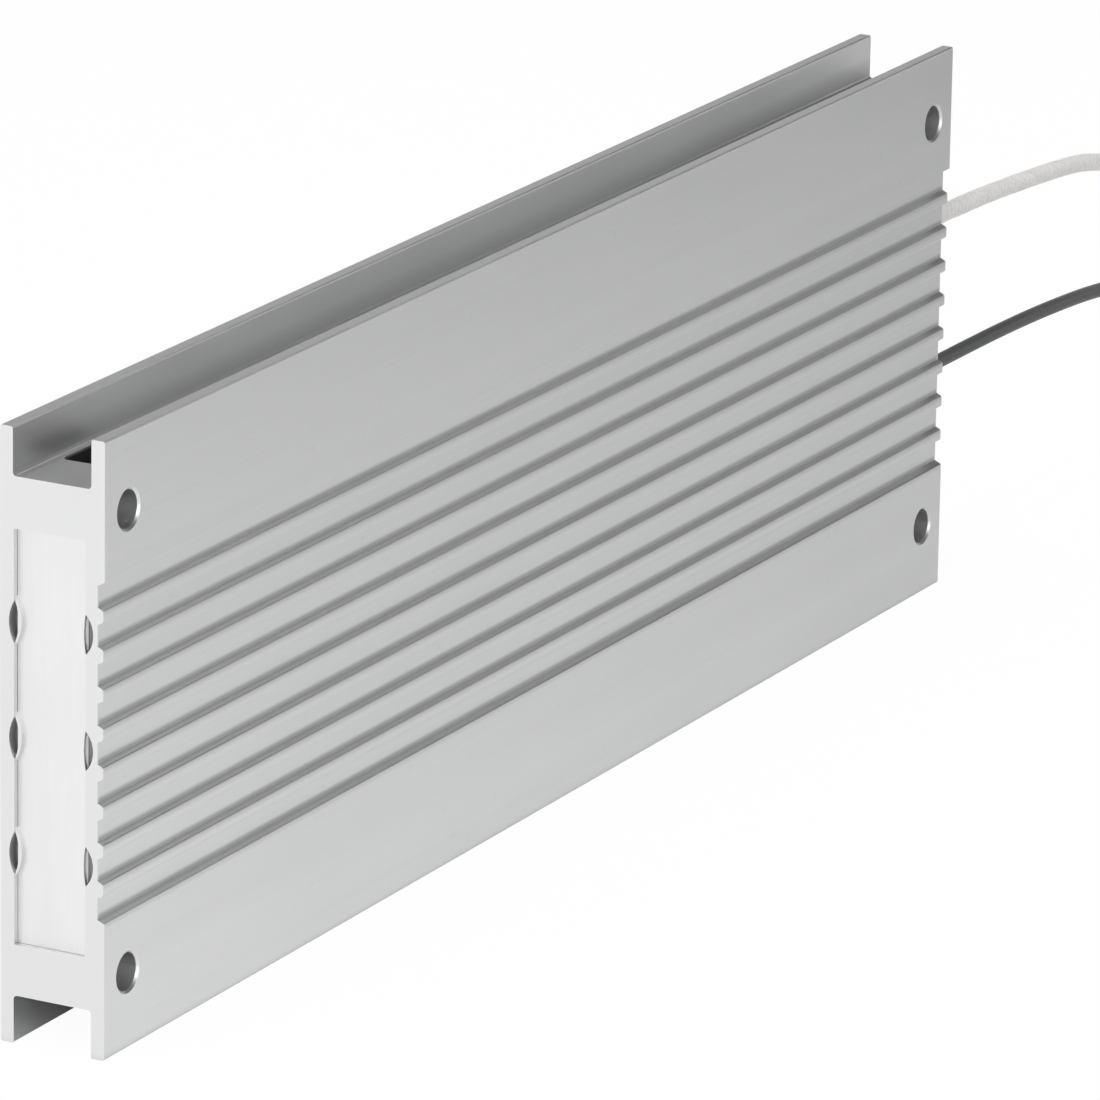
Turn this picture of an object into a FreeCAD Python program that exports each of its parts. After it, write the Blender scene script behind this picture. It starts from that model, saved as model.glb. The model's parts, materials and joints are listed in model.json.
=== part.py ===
"""Flat braking resistor: a ribbed aluminium profile with two wound cards packed in
sand inside, an end plate staked into each end and two leads out of one end.

Millimetres. The resistor stands on its two long edges. X runs along its length, from
the blind end (-X) to the lead end (+X). The ribbed side faces -Y, the flat mounting
side +Y. The origin is at the bottom centre of the profile.
"""
import FreeCAD, Part
import math
import os
import re
import Sketcher
from FreeCAD import Placement, Rotation, Vector

document = FreeCAD.newDocument("braking_resistor")

# Driving dimensions, one cell of the sheet each
SIZES = {
    # extruded profile
    "profile_length": 235.0,
    "profile_height": 80.0,
    "profile_depth": 15.0,
    "flange_thickness": 1.9,
    "channel_depth": 6.3,
    "chamber_height": 54.0,
    "front_wall": 2.8,
    "rear_wall": 2.0,
    "flange_edge_radius": 0.3,
    "channel_corner_radius": 0.5,
    # ribbed field of the front wall
    "groove_count": 9,
    "groove_pitch": 5.05,
    "groove_width": 2.8,
    "groove_flare": 0.4,
    "groove_depth": 1.0,
    "rib_setback": 0.2,
    "rib_edge_radius": 0.3,
    # mounting holes, through both flanges and the web between them
    "mount_hole_diameter": 5.0,
    "mount_hole_inset": 5.7,
    "mount_hole_spacing": 60.0,
    "mount_hole_chamfer": 0.3,
    # filling opening in the floor of the upper channel, and its plug
    "fill_opening_start": 9.4,
    "fill_opening_length": 12.0,
    "fill_opening_width": 8.0,
    "fill_opening_corner": 1.0,
    "fill_plug_sink": 2.2,
    "fill_plug_fit": 0.05,
    # end plates, and the stake marks that hold them
    "end_plate_recess": 0.9,
    "end_plate_thickness": 1.5,
    "end_plate_fit": 0.03,
    "stake_count": 3,
    "stake_pitch": 15.0,
    "stake_chord": 5.4,
    "stake_bite": 0.95,
    "stake_offset": 0.25,
    "stake_depth": 1.6,
    "lip_chord": 6.4,
    "lip_root": 5.6,
    "lip_reach": 0.7,
    "lip_share": 0.4,
    "lip_thickness": 0.65,
    # insulation round the winding pack
    "end_insulator_thickness": 1.5,
    "mica_thickness": 0.5,
    "mica_fit": 0.05,
    "sand_fit": 0.1,
    # wound cards
    "card_thickness": 0.8,
    "card_height": 19.0,
    "card_spacing": 22.5,
    "card_start_inset": 9.0,
    "card_barrel_gap": 1.5,
    "bridge_margin": 10.5,
    "tab_margin": 10.1,
    "turn_count": 30,
    "ribbon_width": 1.8,
    "ribbon_thickness": 0.25,
    "notch_depth": 0.5,
    "notch_fit": 0.1,
    # bridge, terminals and their rivets
    "tab_width": 5.0,
    "tab_thickness": 0.6,
    "barrel_diameter": 3.0,
    "barrel_length": 8.0,
    "barrel_mouth_inset": 16.5,
    "rivet_diameter": 2.0,
    "rivet_head_diameter": 3.6,
    "rivet_head_thickness": 0.4,
    "rivet_fit": 0.05,
    # leads
    "lead_diameter": 2.1,
    "lead_fit": 0.1,
    "conductor_diameter": 1.2,
    "stripped_length": 8.0,
    "bushing_wall": 0.7,
    "bushing_flange_diameter": 5.4,
    "bushing_flange_thickness": 0.8,
    "sleeve_bore": 2.24,
    "sleeve_wall": 0.18,
    "sleeve_length": 72.0,
    "coil_reach": 125.5,
    "coil_radius": 10.5,
    "coil_turns": 2,
    "coil_slack": 0.15,
    "coil_gap": 1.1,
    "coil_tail": 8.0,
}

sheet = document.addObject("Spreadsheet::Sheet", "Sizes")
for row, (alias, number) in enumerate(SIZES.items(), start=1):
    sheet.set(f"A{row}", alias)
    sheet.set(f"B{row}", str(number))
    sheet.setAlias(f"B{row}", alias)
document.recompute()

# Lengths that follow from the sizes, as expressions of the sheet
HALF_LENGTH = "profile_length / 2"
HALF_DEPTH = "profile_depth / 2"
MIDDLE = "profile_height / 2"
CHANNEL_FLOOR = "(profile_height - channel_depth)"
CHAMBER_FRONT = "(front_wall - profile_depth / 2)"
CHAMBER_REAR = "(profile_depth / 2 - rear_wall)"
CHAMBER_BOTTOM = "((profile_height - chamber_height) / 2)"
CHAMBER_TOP = "((profile_height + chamber_height) / 2)"
CHAMBER_CENTRE = "((front_wall - rear_wall) / 2)"
FIELD_HALF = "(((groove_count - 1) * groove_pitch + groove_width) / 2)"
PLATE_FACE = "(profile_length / 2 - end_plate_recess)"
PLATE_BACK = f"({PLATE_FACE} - end_plate_thickness)"
PACK_END = f"({PLATE_BACK} - end_insulator_thickness)"
LINER_FRONT = f"({CHAMBER_FRONT} + mica_fit + mica_thickness)"
LINER_REAR = f"({CHAMBER_REAR} - mica_fit - mica_thickness)"
STRIP_BOTTOM = f"({CHAMBER_BOTTOM} + mica_fit + mica_thickness)"
STRIP_TOP = f"({CHAMBER_TOP} - mica_fit - mica_thickness)"
OPENING_START = "(fill_opening_start - profile_length / 2)"
BARREL_MOUTH = "(profile_length / 2 - barrel_mouth_inset)"
BARREL_START = f"({BARREL_MOUTH} - barrel_length)"
CARD_START = "(card_start_inset - profile_length / 2)"
CARD_END = f"({BARREL_START} - card_barrel_gap)"
CARD_FRONT = f"({CHAMBER_CENTRE} - card_thickness / 2)"
CARD_REAR = f"({CHAMBER_CENTRE} + card_thickness / 2)"
FIRST_TURN = f"({CARD_START} + bridge_margin)"
LAST_TURN = f"({CARD_END} - tab_margin)"
TURN_PITCH = f"(({LAST_TURN} - {FIRST_TURN}) / (turn_count - 1))"
WOUND_HALF = "(card_height / 2 - notch_depth)"
BRIDGE_END = f"({FIRST_TURN} - ribbon_width / 2)"
BRIDGE_RIVET = f"({BRIDGE_END} - tab_width / 2)"
TAB_START = f"({LAST_TURN} + ribbon_width / 2)"
TERMINAL_RIVET = f"({TAB_START} + tab_width / 2)"
UPPER = "(profile_height + card_spacing) / 2"
LOWER = "(profile_height - card_spacing) / 2"
BUSHING_RADIUS = "(lead_diameter / 2 + lead_fit + bushing_wall)"
SIDES = {"upper": UPPER, "lower": LOWER}


def value(expression):
    """The number that an expression of the sheet stands for."""
    result = sheet.evalExpression(expression)
    return float(getattr(result, "Value", result))


def bound(expression):
    """The same expression as another object has to write it, with the sheet's name."""

    def with_sheet(word):
        return "Sizes." + word[0] if word[0] in SIZES else word[0]

    return re.sub(r"[a-z_]+", with_sheet, expression)


def drive(thing, **properties):
    """Bind properties of an object to expressions of the sheet."""
    for name, expression in properties.items():
        thing.setExpression(name, bound(expression))


def place(thing, x, y, z):
    """Bind an object's place to expressions of the sheet."""
    for axis, expression in (("x", x), ("y", y), ("z", z)):
        thing.setExpression(f"Placement.Base.{axis}", bound(expression))


# Bodies and sketches
def new_body(name):
    body = document.addObject("PartDesign::Body", name)
    body.Label = name
    return body


def origin_part(body, role):
    """One of the body's own origin planes or axes."""
    return next(f for f in body.Origin.OriginFeatures if f.Role == role)


def new_sketch(body, name, role, offset="0"):
    sketch = body.newObject("Sketcher::SketchObject", f"{body.Name}_{name}")
    sketch.AttachmentSupport = (origin_part(body, role), "")
    sketch.MapMode = "FlatFace"
    sketch.setExpression("AttachmentOffset.Base.z", bound(offset))
    return sketch


def pin_point(sketch, geometry, end, across, up):
    """Hold one point of a sketch at two expressions, measured from the origin."""
    for kind, axis, expression in (("DistanceX", -2, across), ("DistanceY", -1, up)):
        number = value(expression)
        if abs(number) < 1e-9:
            sketch.addConstraint(Sketcher.Constraint("PointOnObject", geometry, end, axis))
            continue
        place_of = sketch.addConstraint(
            Sketcher.Constraint(kind, -1, 1, geometry, end, number)
        )
        sketch.setExpression(f"Constraints[{place_of}]", bound(expression))


def add_outline(sketch, corners):
    """A closed outline of straight edges through corners given as two expressions."""
    first = sketch.GeometryCount
    points = [Vector(value(across), value(up), 0) for across, up in corners]
    last = len(points) - 1
    for start, end in zip(points, points[1:] + points[:1]):
        sketch.addGeometry(Part.LineSegment(start, end), False)
    for k, (across, up) in enumerate(corners):
        following = first + k + 1 if k < last else first
        sketch.addConstraint(
            Sketcher.Constraint("Coincident", first + k, 2, following, 1)
        )
        pin_point(sketch, first + k, 1, across, up)


def add_rectangle(sketch, left, right, bottom, top):
    add_outline(sketch, [(left, bottom), (right, bottom), (right, top), (left, top)])


def add_circle(sketch, across, up, radius):
    centre = Vector(value(across), value(up), 0)
    ring = sketch.addGeometry(Part.Circle(centre, Vector(0, 0, 1), value(radius)), False)
    pin_point(sketch, ring, 3, across, up)
    size = sketch.addConstraint(Sketcher.Constraint("Radius", ring, value(radius)))
    sketch.setExpression(f"Constraints[{size}]", bound(radius))


def add_wall_line(sketch, wall, low, high):
    """A straight line on a wall, between two levels."""
    ends = [Vector(value(wall), value(level), 0) for level in (low, high)]
    line = sketch.addGeometry(Part.LineSegment(*ends), False)
    pin_point(sketch, line, 1, wall, low)
    pin_point(sketch, line, 2, wall, high)
    return line


def add_bulge(sketch, wall, up, half_chord, reach, way, low_end, high_end):
    """An arc that stands on a wall at up, between the ends of lines on that wall."""
    foot, height = value(wall), value(up)
    half, rise = value(half_chord), value(reach)
    low = Vector(foot, height - half, 0)
    high = Vector(foot, height + half, 0)
    crown = Vector(foot + way * rise, height, 0)
    arc = sketch.addGeometry(Part.Arc(low, crown, high), False)
    start, end = (1, 2) if way > 0 else (2, 1)
    sketch.addConstraint(Sketcher.Constraint("Coincident", arc, start, *low_end))
    sketch.addConstraint(Sketcher.Constraint("Coincident", arc, end, *high_end))
    radius = f"({half_chord} * {half_chord} + {reach} * {reach}) / (2 * {reach})"
    size = sketch.addConstraint(Sketcher.Constraint("Radius", arc, value(radius)))
    sketch.setExpression(f"Constraints[{size}]", bound(radius))


def add_segment(sketch, wall, up, half_chord, reach, way):
    """A circle's segment: its chord stands on the wall."""
    chord = add_wall_line(sketch, wall, f"{up} - {half_chord}", f"{up} + {half_chord}")
    add_bulge(sketch, wall, up, half_chord, reach, way, (chord, 1), (chord, 2))


def add_crescent(sketch, wall, up, outer, inner, way):
    """A crescent on two feet: outer and inner are each a half chord and a reach."""
    low = add_wall_line(sketch, wall, f"{up} - {outer[0]}", f"{up} - {inner[0]}")
    high = add_wall_line(sketch, wall, f"{up} + {inner[0]}", f"{up} + {outer[0]}")
    add_bulge(sketch, wall, up, *outer, way, (low, 1), (high, 2))
    add_bulge(sketch, wall, up, *inner, way, (low, 2), (high, 1))


def new_feature(body, kind, name, **properties):
    feature = body.newObject(f"PartDesign::{kind}", f"{body.Name}_{name}")
    drive(feature, **properties)
    return feature


def pad(body, name, sketch, length, both_ways=False):
    feature = new_feature(body, "Pad", name, Length=length)
    feature.Profile = sketch
    if both_ways:
        feature.SideType = "Symmetric"
    document.recompute()
    return feature


def pocket(body, name, sketch, length, both_ways=False):
    """A pocket into the solid: one that cuts nothing is turned the other way."""
    before = body.Shape.Volume
    feature = new_feature(body, "Pocket", name, Length=length)
    feature.Profile = sketch
    if both_ways:
        feature.SideType = "Symmetric"
    document.recompute()
    if body.Shape.Volume > before - 1e-6:
        feature.Reversed = True
        document.recompute()
    return feature


def line_up(body, name, originals, axis, length, count):
    """Copies of a feature along one of the body's own axes."""
    pattern = new_feature(body, "LinearPattern", name, Length=length, Occurrences=count)
    pattern.Originals = originals
    pattern.Direction = (origin_part(body, axis), [""])
    body.Tip = pattern
    document.recompute()


def edges_where(shape, test):
    return [f"Edge{k}" for k, edge in enumerate(shape.Edges, start=1) if test(edge)]


def runs_along(edge, way):
    """True for a straight edge parallel to a direction."""
    if not isinstance(edge.Curve, Part.Line):
        return False
    return abs(abs(edge.Curve.Direction.dot(way)) - 1) < 1e-6


def near(a, b):
    return abs(a - b) < 1e-4


def dress(body, kind, name, test, **properties):
    """A fillet or chamfer on the edges of the body that pass a test."""
    base = body.Tip
    edges = edges_where(base.Shape, test)
    feature = new_feature(body, kind, name, **properties)
    feature.Base = (base, edges)
    document.recompute()


ALONG = Vector(1, 0, 0)
UP = Vector(0, 0, 1)


# Profile: drawn once as the section of the extrusion die
def profile_section(body):
    """Two flanges joined by a hollow web, with a shallow field for the ribs."""
    section = new_sketch(body, "section", "YZ_Plane")
    front, rear = f"-{HALF_DEPTH}", HALF_DEPTH
    inner_front = f"flange_thickness - {HALF_DEPTH}"
    inner_rear = f"{HALF_DEPTH} - flange_thickness"
    field = f"rib_setback - {HALF_DEPTH}"
    field_low = f"{MIDDLE} - {FIELD_HALF}"
    field_high = f"{MIDDLE} + {FIELD_HALF}"
    add_outline(
        section,
        [
            (front, "0"),
            (front, field_low),
            (field, field_low),
            (field, field_high),
            (front, field_high),
            (front, "profile_height"),
            (inner_front, "profile_height"),
            (inner_front, CHANNEL_FLOOR),
            (inner_rear, CHANNEL_FLOOR),
            (inner_rear, "profile_height"),
            (rear, "profile_height"),
            (rear, "0"),
            (inner_rear, "0"),
            (inner_rear, "channel_depth"),
            (inner_front, "channel_depth"),
            (inner_front, "0"),
        ],
    )
    add_rectangle(section, CHAMBER_FRONT, CHAMBER_REAR, CHAMBER_BOTTOM, CHAMBER_TOP)
    return section


def cut_grooves(body):
    """Grooves with slanted sides, which leave ribs just below the flange's face."""
    groove = new_sketch(body, "groove", "YZ_Plane")
    low = f"{MIDDLE} - {FIELD_HALF}"
    high = f"{low} + groove_width"
    floor = f"groove_depth - {HALF_DEPTH}"
    # the flare is measured at the ribs' face, and the sides run on as far again
    outside = f"2 * rib_setback - groove_depth - {HALF_DEPTH}"
    add_outline(
        groove,
        [
            (outside, f"{low} - 2 * groove_flare"),
            (floor, low),
            (floor, high),
            (outside, f"{high} + 2 * groove_flare"),
        ],
    )
    first = pocket(body, "first_groove", groove, "profile_length + groove_width", True)
    line_up(
        body, "grooves", [first], "Z_Axis", "(groove_count - 1) * groove_pitch", "groove_count"
    )


def round_profile(body):
    """Soft edges on the ribs, the flanges and the corners of the channels."""
    face = -value(HALF_DEPTH)
    rib_top = face + value("rib_setback")
    floor_low, floor_high = value("channel_depth"), value(CHANNEL_FLOOR)

    def on_rib(edge):
        start = edge.Vertexes[0].Point
        return runs_along(edge, ALONG) and near(start.y, rib_top)

    def on_flange(edge):
        start = edge.Vertexes[0].Point
        outside = near(start.z, 0) or near(start.z, value("profile_height"))
        return runs_along(edge, ALONG) and outside

    def in_channel(edge):
        start = edge.Vertexes[0].Point
        floor = near(start.z, floor_low) or near(start.z, floor_high)
        return runs_along(edge, ALONG) and floor

    dress(body, "Fillet", "rib_edges", on_rib, Radius="rib_edge_radius")
    dress(body, "Fillet", "flange_edges", on_flange, Radius="flange_edge_radius")
    dress(body, "Fillet", "channel_corners", in_channel, Radius="channel_corner_radius")


def drill_mounts(body):
    """Four through holes with a broken edge on both sides."""
    holes = new_sketch(body, "mount_holes", "XZ_Plane")
    for end in ("-", ""):
        for level in ("-", "+"):
            add_circle(
                holes,
                f"{end}({HALF_LENGTH} - mount_hole_inset)",
                f"{MIDDLE} {level} mount_hole_spacing / 2",
                "mount_hole_diameter / 2",
            )
    pocket(body, "mount_bores", holes, "2 * profile_depth", True)
    half = value(HALF_DEPTH)

    def on_rim(edge):
        return isinstance(edge.Curve, Part.Circle) and near(abs(edge.Curve.Center.y), half)

    dress(body, "Chamfer", "mount_rims", on_rim, Size="mount_hole_chamfer")


def cut_fill_opening(body):
    """The slot through the web that the sand goes in by."""
    slot = new_sketch(body, "fill_slot", "XY_Plane", CHANNEL_FLOOR)
    add_rectangle(
        slot,
        OPENING_START,
        f"{OPENING_START} + fill_opening_length",
        f"{CHAMBER_CENTRE} - fill_opening_width / 2",
        f"{CHAMBER_CENTRE} + fill_opening_width / 2",
    )
    pocket(body, "fill_opening", slot, f"{CHANNEL_FLOOR} - {CHAMBER_TOP} + mica_fit")
    ends = (value(OPENING_START), value(f"{OPENING_START} + fill_opening_length"))

    def on_corner(edge):
        start = edge.Vertexes[0].Point
        return runs_along(edge, UP) and (near(start.x, ends[0]) or near(start.x, ends[1]))

    dress(body, "Fillet", "fill_corners", on_corner, Radius="fill_opening_corner")


def stake_ends(body):
    """Punch bites in both walls, and the ridges of metal they push over the end plate."""
    count = int(value("stake_count"))
    levels = [f"{MIDDLE} + ({k} - (stake_count - 1) / 2) * stake_pitch" for k in range(count)]
    marks = []
    # the punch sat a little to the front, so each mark has its offset towards there
    for side, wall, way in (("front", CHAMBER_FRONT, 1), ("rear", CHAMBER_REAR, -1)):
        more, less = ("+", "-") if way > 0 else ("-", "+")
        bites = new_sketch(body, f"{side}_bites", "YZ_Plane", HALF_LENGTH)
        bite = f"(stake_bite {more} stake_offset)"
        for level in levels:
            add_segment(bites, wall, level, "(stake_chord / 2)", bite, -way)
        marks.append(pocket(body, f"{side}_stakes", bites, "stake_depth"))
        lips = new_sketch(body, f"{side}_lips", "YZ_Plane", PLATE_FACE)
        reach = f"(lip_reach {less} stake_offset)"
        outer = ("(lip_chord / 2)", reach)
        inner = ("(lip_root / 2)", f"({reach} * (1 - lip_share))")
        for level in levels:
            add_crescent(lips, wall, level, outer, inner, way)
        marks.append(pad(body, f"{side}_lip_pads", lips, "lip_thickness"))
    mirrored = new_feature(body, "Mirrored", "blind_end_stakes")
    mirrored.Originals = marks
    mirrored.MirrorPlane = (origin_part(body, "YZ_Plane"), [""])
    body.Tip = mirrored
    document.recompute()


def make_housing():
    body = new_body("housing")
    pad(body, "extrusion", profile_section(body), "profile_length", True)
    cut_grooves(body)
    round_profile(body)
    drill_mounts(body)
    cut_fill_opening(body)
    stake_ends(body)


# End plates, insulators and mica: flat pieces that fill the chamber's section
def make_end_sheet(name, near_face, thickness, fit, hole_radius=None):
    """A sheet across the chamber, with one hole for each lead where it has any."""
    body = new_body(name)
    section = new_sketch(body, "section", "YZ_Plane", near_face)
    add_rectangle(
        section,
        f"{CHAMBER_FRONT} + {fit}",
        f"{CHAMBER_REAR} - {fit}",
        f"{CHAMBER_BOTTOM} + {fit}",
        f"{CHAMBER_TOP} - {fit}",
    )
    if hole_radius:
        for level in SIDES.values():
            add_circle(section, CHAMBER_CENTRE, level, hole_radius)
    pad(body, "sheet", section, thickness)


def make_box(name, low, high):
    """A plain block between two corners given as expressions."""
    box = document.addObject("Part::Box", name)
    box.Label = name
    drive(
        box,
        Length=f"({high[0]}) - ({low[0]})",
        Width=f"({high[1]}) - ({low[1]})",
        Height=f"({high[2]}) - ({low[2]})",
    )
    place(box, *low)
    return box


def cut(name, base, tool):
    """Part's own cut of one object by another."""
    result = document.addObject("Part::Cut", name)
    result.Base = base
    result.Tool = tool
    result.Label = name
    return result


def fuse(name, parts):
    """Part's own union of several objects."""
    result = document.addObject("Part::MultiFuse", name)
    result.Shapes = parts
    result.Label = name
    return result


def make_cylinder(name, start, way, radius, length):
    """A cylinder from a start given as expressions, along a direction."""
    cylinder = document.addObject("Part::Cylinder", name)
    cylinder.Label = name
    cylinder.Placement = Placement(Vector(0, 0, 0), Rotation(UP, way))
    drive(cylinder, Radius=radius, Height=length)
    place(cylinder, *start)
    return cylinder


def make_liners():
    low = (f"-{PACK_END}", f"{CHAMBER_FRONT} + mica_fit", f"{CHAMBER_BOTTOM} + mica_fit")
    high = (PACK_END, LINER_FRONT, f"{CHAMBER_TOP} - mica_fit")
    make_box("mica_liner_front", low, high)
    low = (f"-{PACK_END}", LINER_REAR, f"{CHAMBER_BOTTOM} + mica_fit")
    high = (PACK_END, f"{CHAMBER_REAR} - mica_fit", f"{CHAMBER_TOP} - mica_fit")
    make_box("mica_liner_rear", low, high)


def make_strips():
    """Narrow mica strips above and below the sand; the upper one has the filling window."""
    low = (f"-{PACK_END}", LINER_FRONT, f"{CHAMBER_BOTTOM} + mica_fit")
    make_box("mica_strip_bottom", low, (PACK_END, LINER_REAR, STRIP_BOTTOM))
    low = (f"-{PACK_END}", LINER_FRONT, STRIP_TOP)
    blank = make_box("strip_blank", low, (PACK_END, LINER_REAR, f"{CHAMBER_TOP} - mica_fit"))
    window = make_box(
        "strip_window",
        (OPENING_START, f"{CHAMBER_CENTRE} - fill_opening_width / 2", f"{STRIP_TOP} - sand_fit"),
        (
            f"{OPENING_START} + fill_opening_length",
            f"{CHAMBER_CENTRE} + fill_opening_width / 2",
            CHAMBER_TOP,
        ),
    )
    cut("mica_strip_top", blank, window)


def make_fill_plug():
    """The dark plug that closes the filling opening, sunk below the channel's floor."""
    body = new_body("fill_plug")
    top = f"{CHANNEL_FLOOR} - fill_plug_sink"
    section = new_sketch(body, "section", "XY_Plane", STRIP_TOP)
    add_rectangle(
        section,
        f"{OPENING_START} + fill_plug_fit",
        f"{OPENING_START} + fill_opening_length - fill_plug_fit",
        f"{CHAMBER_CENTRE} - fill_opening_width / 2 + fill_plug_fit",
        f"{CHAMBER_CENTRE} + fill_opening_width / 2 - fill_plug_fit",
    )
    pad(body, "block", section, f"{top} - {STRIP_TOP}")
    dress(
        body,
        "Fillet",
        "corners",
        lambda edge: runs_along(edge, UP),
        Radius="fill_opening_corner - fill_plug_fit",
    )


# Wound cards
def make_card(side, level):
    """A mica card with a notch for each turn in both long edges and two rivet holes."""
    body = new_body(f"card_{side}")
    blank = new_sketch(body, "blank", "XZ_Plane", f"-{CARD_REAR}")
    low, high = f"{level} - card_height / 2", f"{level} + card_height / 2"
    add_rectangle(blank, CARD_START, CARD_END, low, high)
    for across in (BRIDGE_RIVET, TERMINAL_RIVET):
        add_circle(blank, across, level, "rivet_diameter / 2 + rivet_fit")
    pad(body, "sheet", blank, "card_thickness")
    notches = new_sketch(body, "notches", "XZ_Plane", f"-{CARD_REAR}")
    left = f"{FIRST_TURN} - ribbon_width / 2 - notch_fit"
    right = f"{FIRST_TURN} + ribbon_width / 2 + notch_fit"
    add_rectangle(notches, left, right, f"{low} - notch_depth", f"{low} + notch_depth")
    add_rectangle(notches, left, right, f"{high} - notch_depth", f"{high} + notch_depth")
    first = pocket(body, "first_notches", notches, "2 * card_thickness", True)
    line_up(body, "notches", [first], "X_Axis", f"{LAST_TURN} - {FIRST_TURN}", "turn_count")


def make_winding(side, level):
    """Resistance ribbon round a card: upright runs in front, slanted runs behind."""
    middle = value(level)
    half_wound = value(WOUND_HALF)
    wide, thin = value("ribbon_width"), value("ribbon_thickness")
    front, rear = value(CARD_FRONT), value(CARD_REAR)
    pitch, turns = value(TURN_PITCH), int(value("turn_count"))
    low, high = middle - half_wound, middle + half_wound
    size_in_y = rear - front + 2 * thin
    pieces = []
    for k in range(turns):
        left = value(FIRST_TURN) + k * pitch - wide / 2
        upright = Part.makeBox(
            wide, thin, high - low + thin, Vector(left, front - thin, low)
        )
        over = Part.makeBox(wide, size_in_y, thin, Vector(left, front - thin, high))
        pieces += [upright, over]
        if k == turns - 1:
            continue
        slant = [
            Vector(left, rear, high),
            Vector(left + wide, rear, high),
            Vector(left + pitch + wide, rear, low),
            Vector(left + pitch, rear, low),
        ]
        face = Part.Face(Part.makePolygon(slant + slant[:1]))
        under = Part.makeBox(
            wide, size_in_y, thin, Vector(left + pitch, front - thin, low - thin)
        )
        pieces += [face.extrude(Vector(0, thin, 0)), under]
    winding = document.addObject("Part::Feature", f"winding_{side}")
    winding.Label = f"winding_{side}"
    winding.Shape = pieces[0].multiFuse(pieces[1:]).removeSplitter().Solids[0]


def make_bridge():
    """The strap that joins both windings at the blind end."""
    body = new_body("bridge_strap")
    strap = new_sketch(body, "strap", "XZ_Plane", f"-{CARD_FRONT}")
    half = "tab_width / 2"
    add_rectangle(
        strap, f"{BRIDGE_END} - tab_width", BRIDGE_END, f"{LOWER} - {half}", f"{UPPER} + {half}"
    )
    for level in SIDES.values():
        add_circle(strap, BRIDGE_RIVET, level, "rivet_diameter / 2 + rivet_fit")
    pad(body, "sheet", strap, "tab_thickness")


def make_terminal(side, level):
    """A flat tab on the card's front that turns into a barrel on the lead's axis."""
    tab = make_box(
        f"tab_blank_{side}",
        (TAB_START, f"{CARD_FRONT} - tab_thickness", f"{level} - tab_width / 2"),
        (f"{BARREL_START} + tab_thickness", CARD_FRONT, f"{level} + tab_width / 2"),
    )
    hole = make_cylinder(
        f"tab_hole_{side}",
        (TERMINAL_RIVET, f"{CARD_REAR}", level),
        Vector(0, -1, 0),
        "rivet_diameter / 2 + rivet_fit",
        "card_thickness + 2 * tab_thickness",
    )
    barrel = make_cylinder(
        f"barrel_{side}",
        (BARREL_START, CHAMBER_CENTRE, level),
        ALONG,
        "barrel_diameter / 2",
        "barrel_length",
    )
    plate = cut(f"tab_{side}", tab, hole)
    fuse(f"terminal_{side}", [plate, barrel])


def make_rivet(name, across, level):
    """A rivet through tab and card, with a flat head on each side."""
    body = new_body(name)
    profile = new_sketch(body, "profile", "XY_Plane", level)
    shank, head = "rivet_diameter / 2", "rivet_head_diameter / 2"
    front = f"{CARD_FRONT} - tab_thickness"
    add_outline(
        profile,
        [
            (across, f"{front} - rivet_head_thickness"),
            (f"{across} + {head}", f"{front} - rivet_head_thickness"),
            (f"{across} + {head}", front),
            (f"{across} + {shank}", front),
            (f"{across} + {shank}", CARD_REAR),
            (f"{across} + {head}", CARD_REAR),
            (f"{across} + {head}", f"{CARD_REAR} + rivet_head_thickness"),
            (across, f"{CARD_REAR} + rivet_head_thickness"),
        ],
    )
    turned = new_feature(body, "Revolution", "turned")
    turned.Profile = profile
    turned.ReferenceAxis = (profile, ["Edge8"])
    turned.Angle = 360
    document.recompute()


def make_rivets():
    """All four rivets as one node: two hold the bridge, and one holds each terminal."""
    for side, level in SIDES.items():
        make_rivet(f"rivet_lead_{side}", TERMINAL_RIVET, level)
        make_rivet(f"rivet_bridge_{side}", BRIDGE_RIVET, level)
    group = document.addObject("Part::Compound", "rivets")
    group.Label = "rivets"
    group.Links = [
        document.getObject(f"rivet_{place_of}_{side}")
        for place_of in ("lead", "bridge")
        for side in SIDES
    ]


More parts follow.
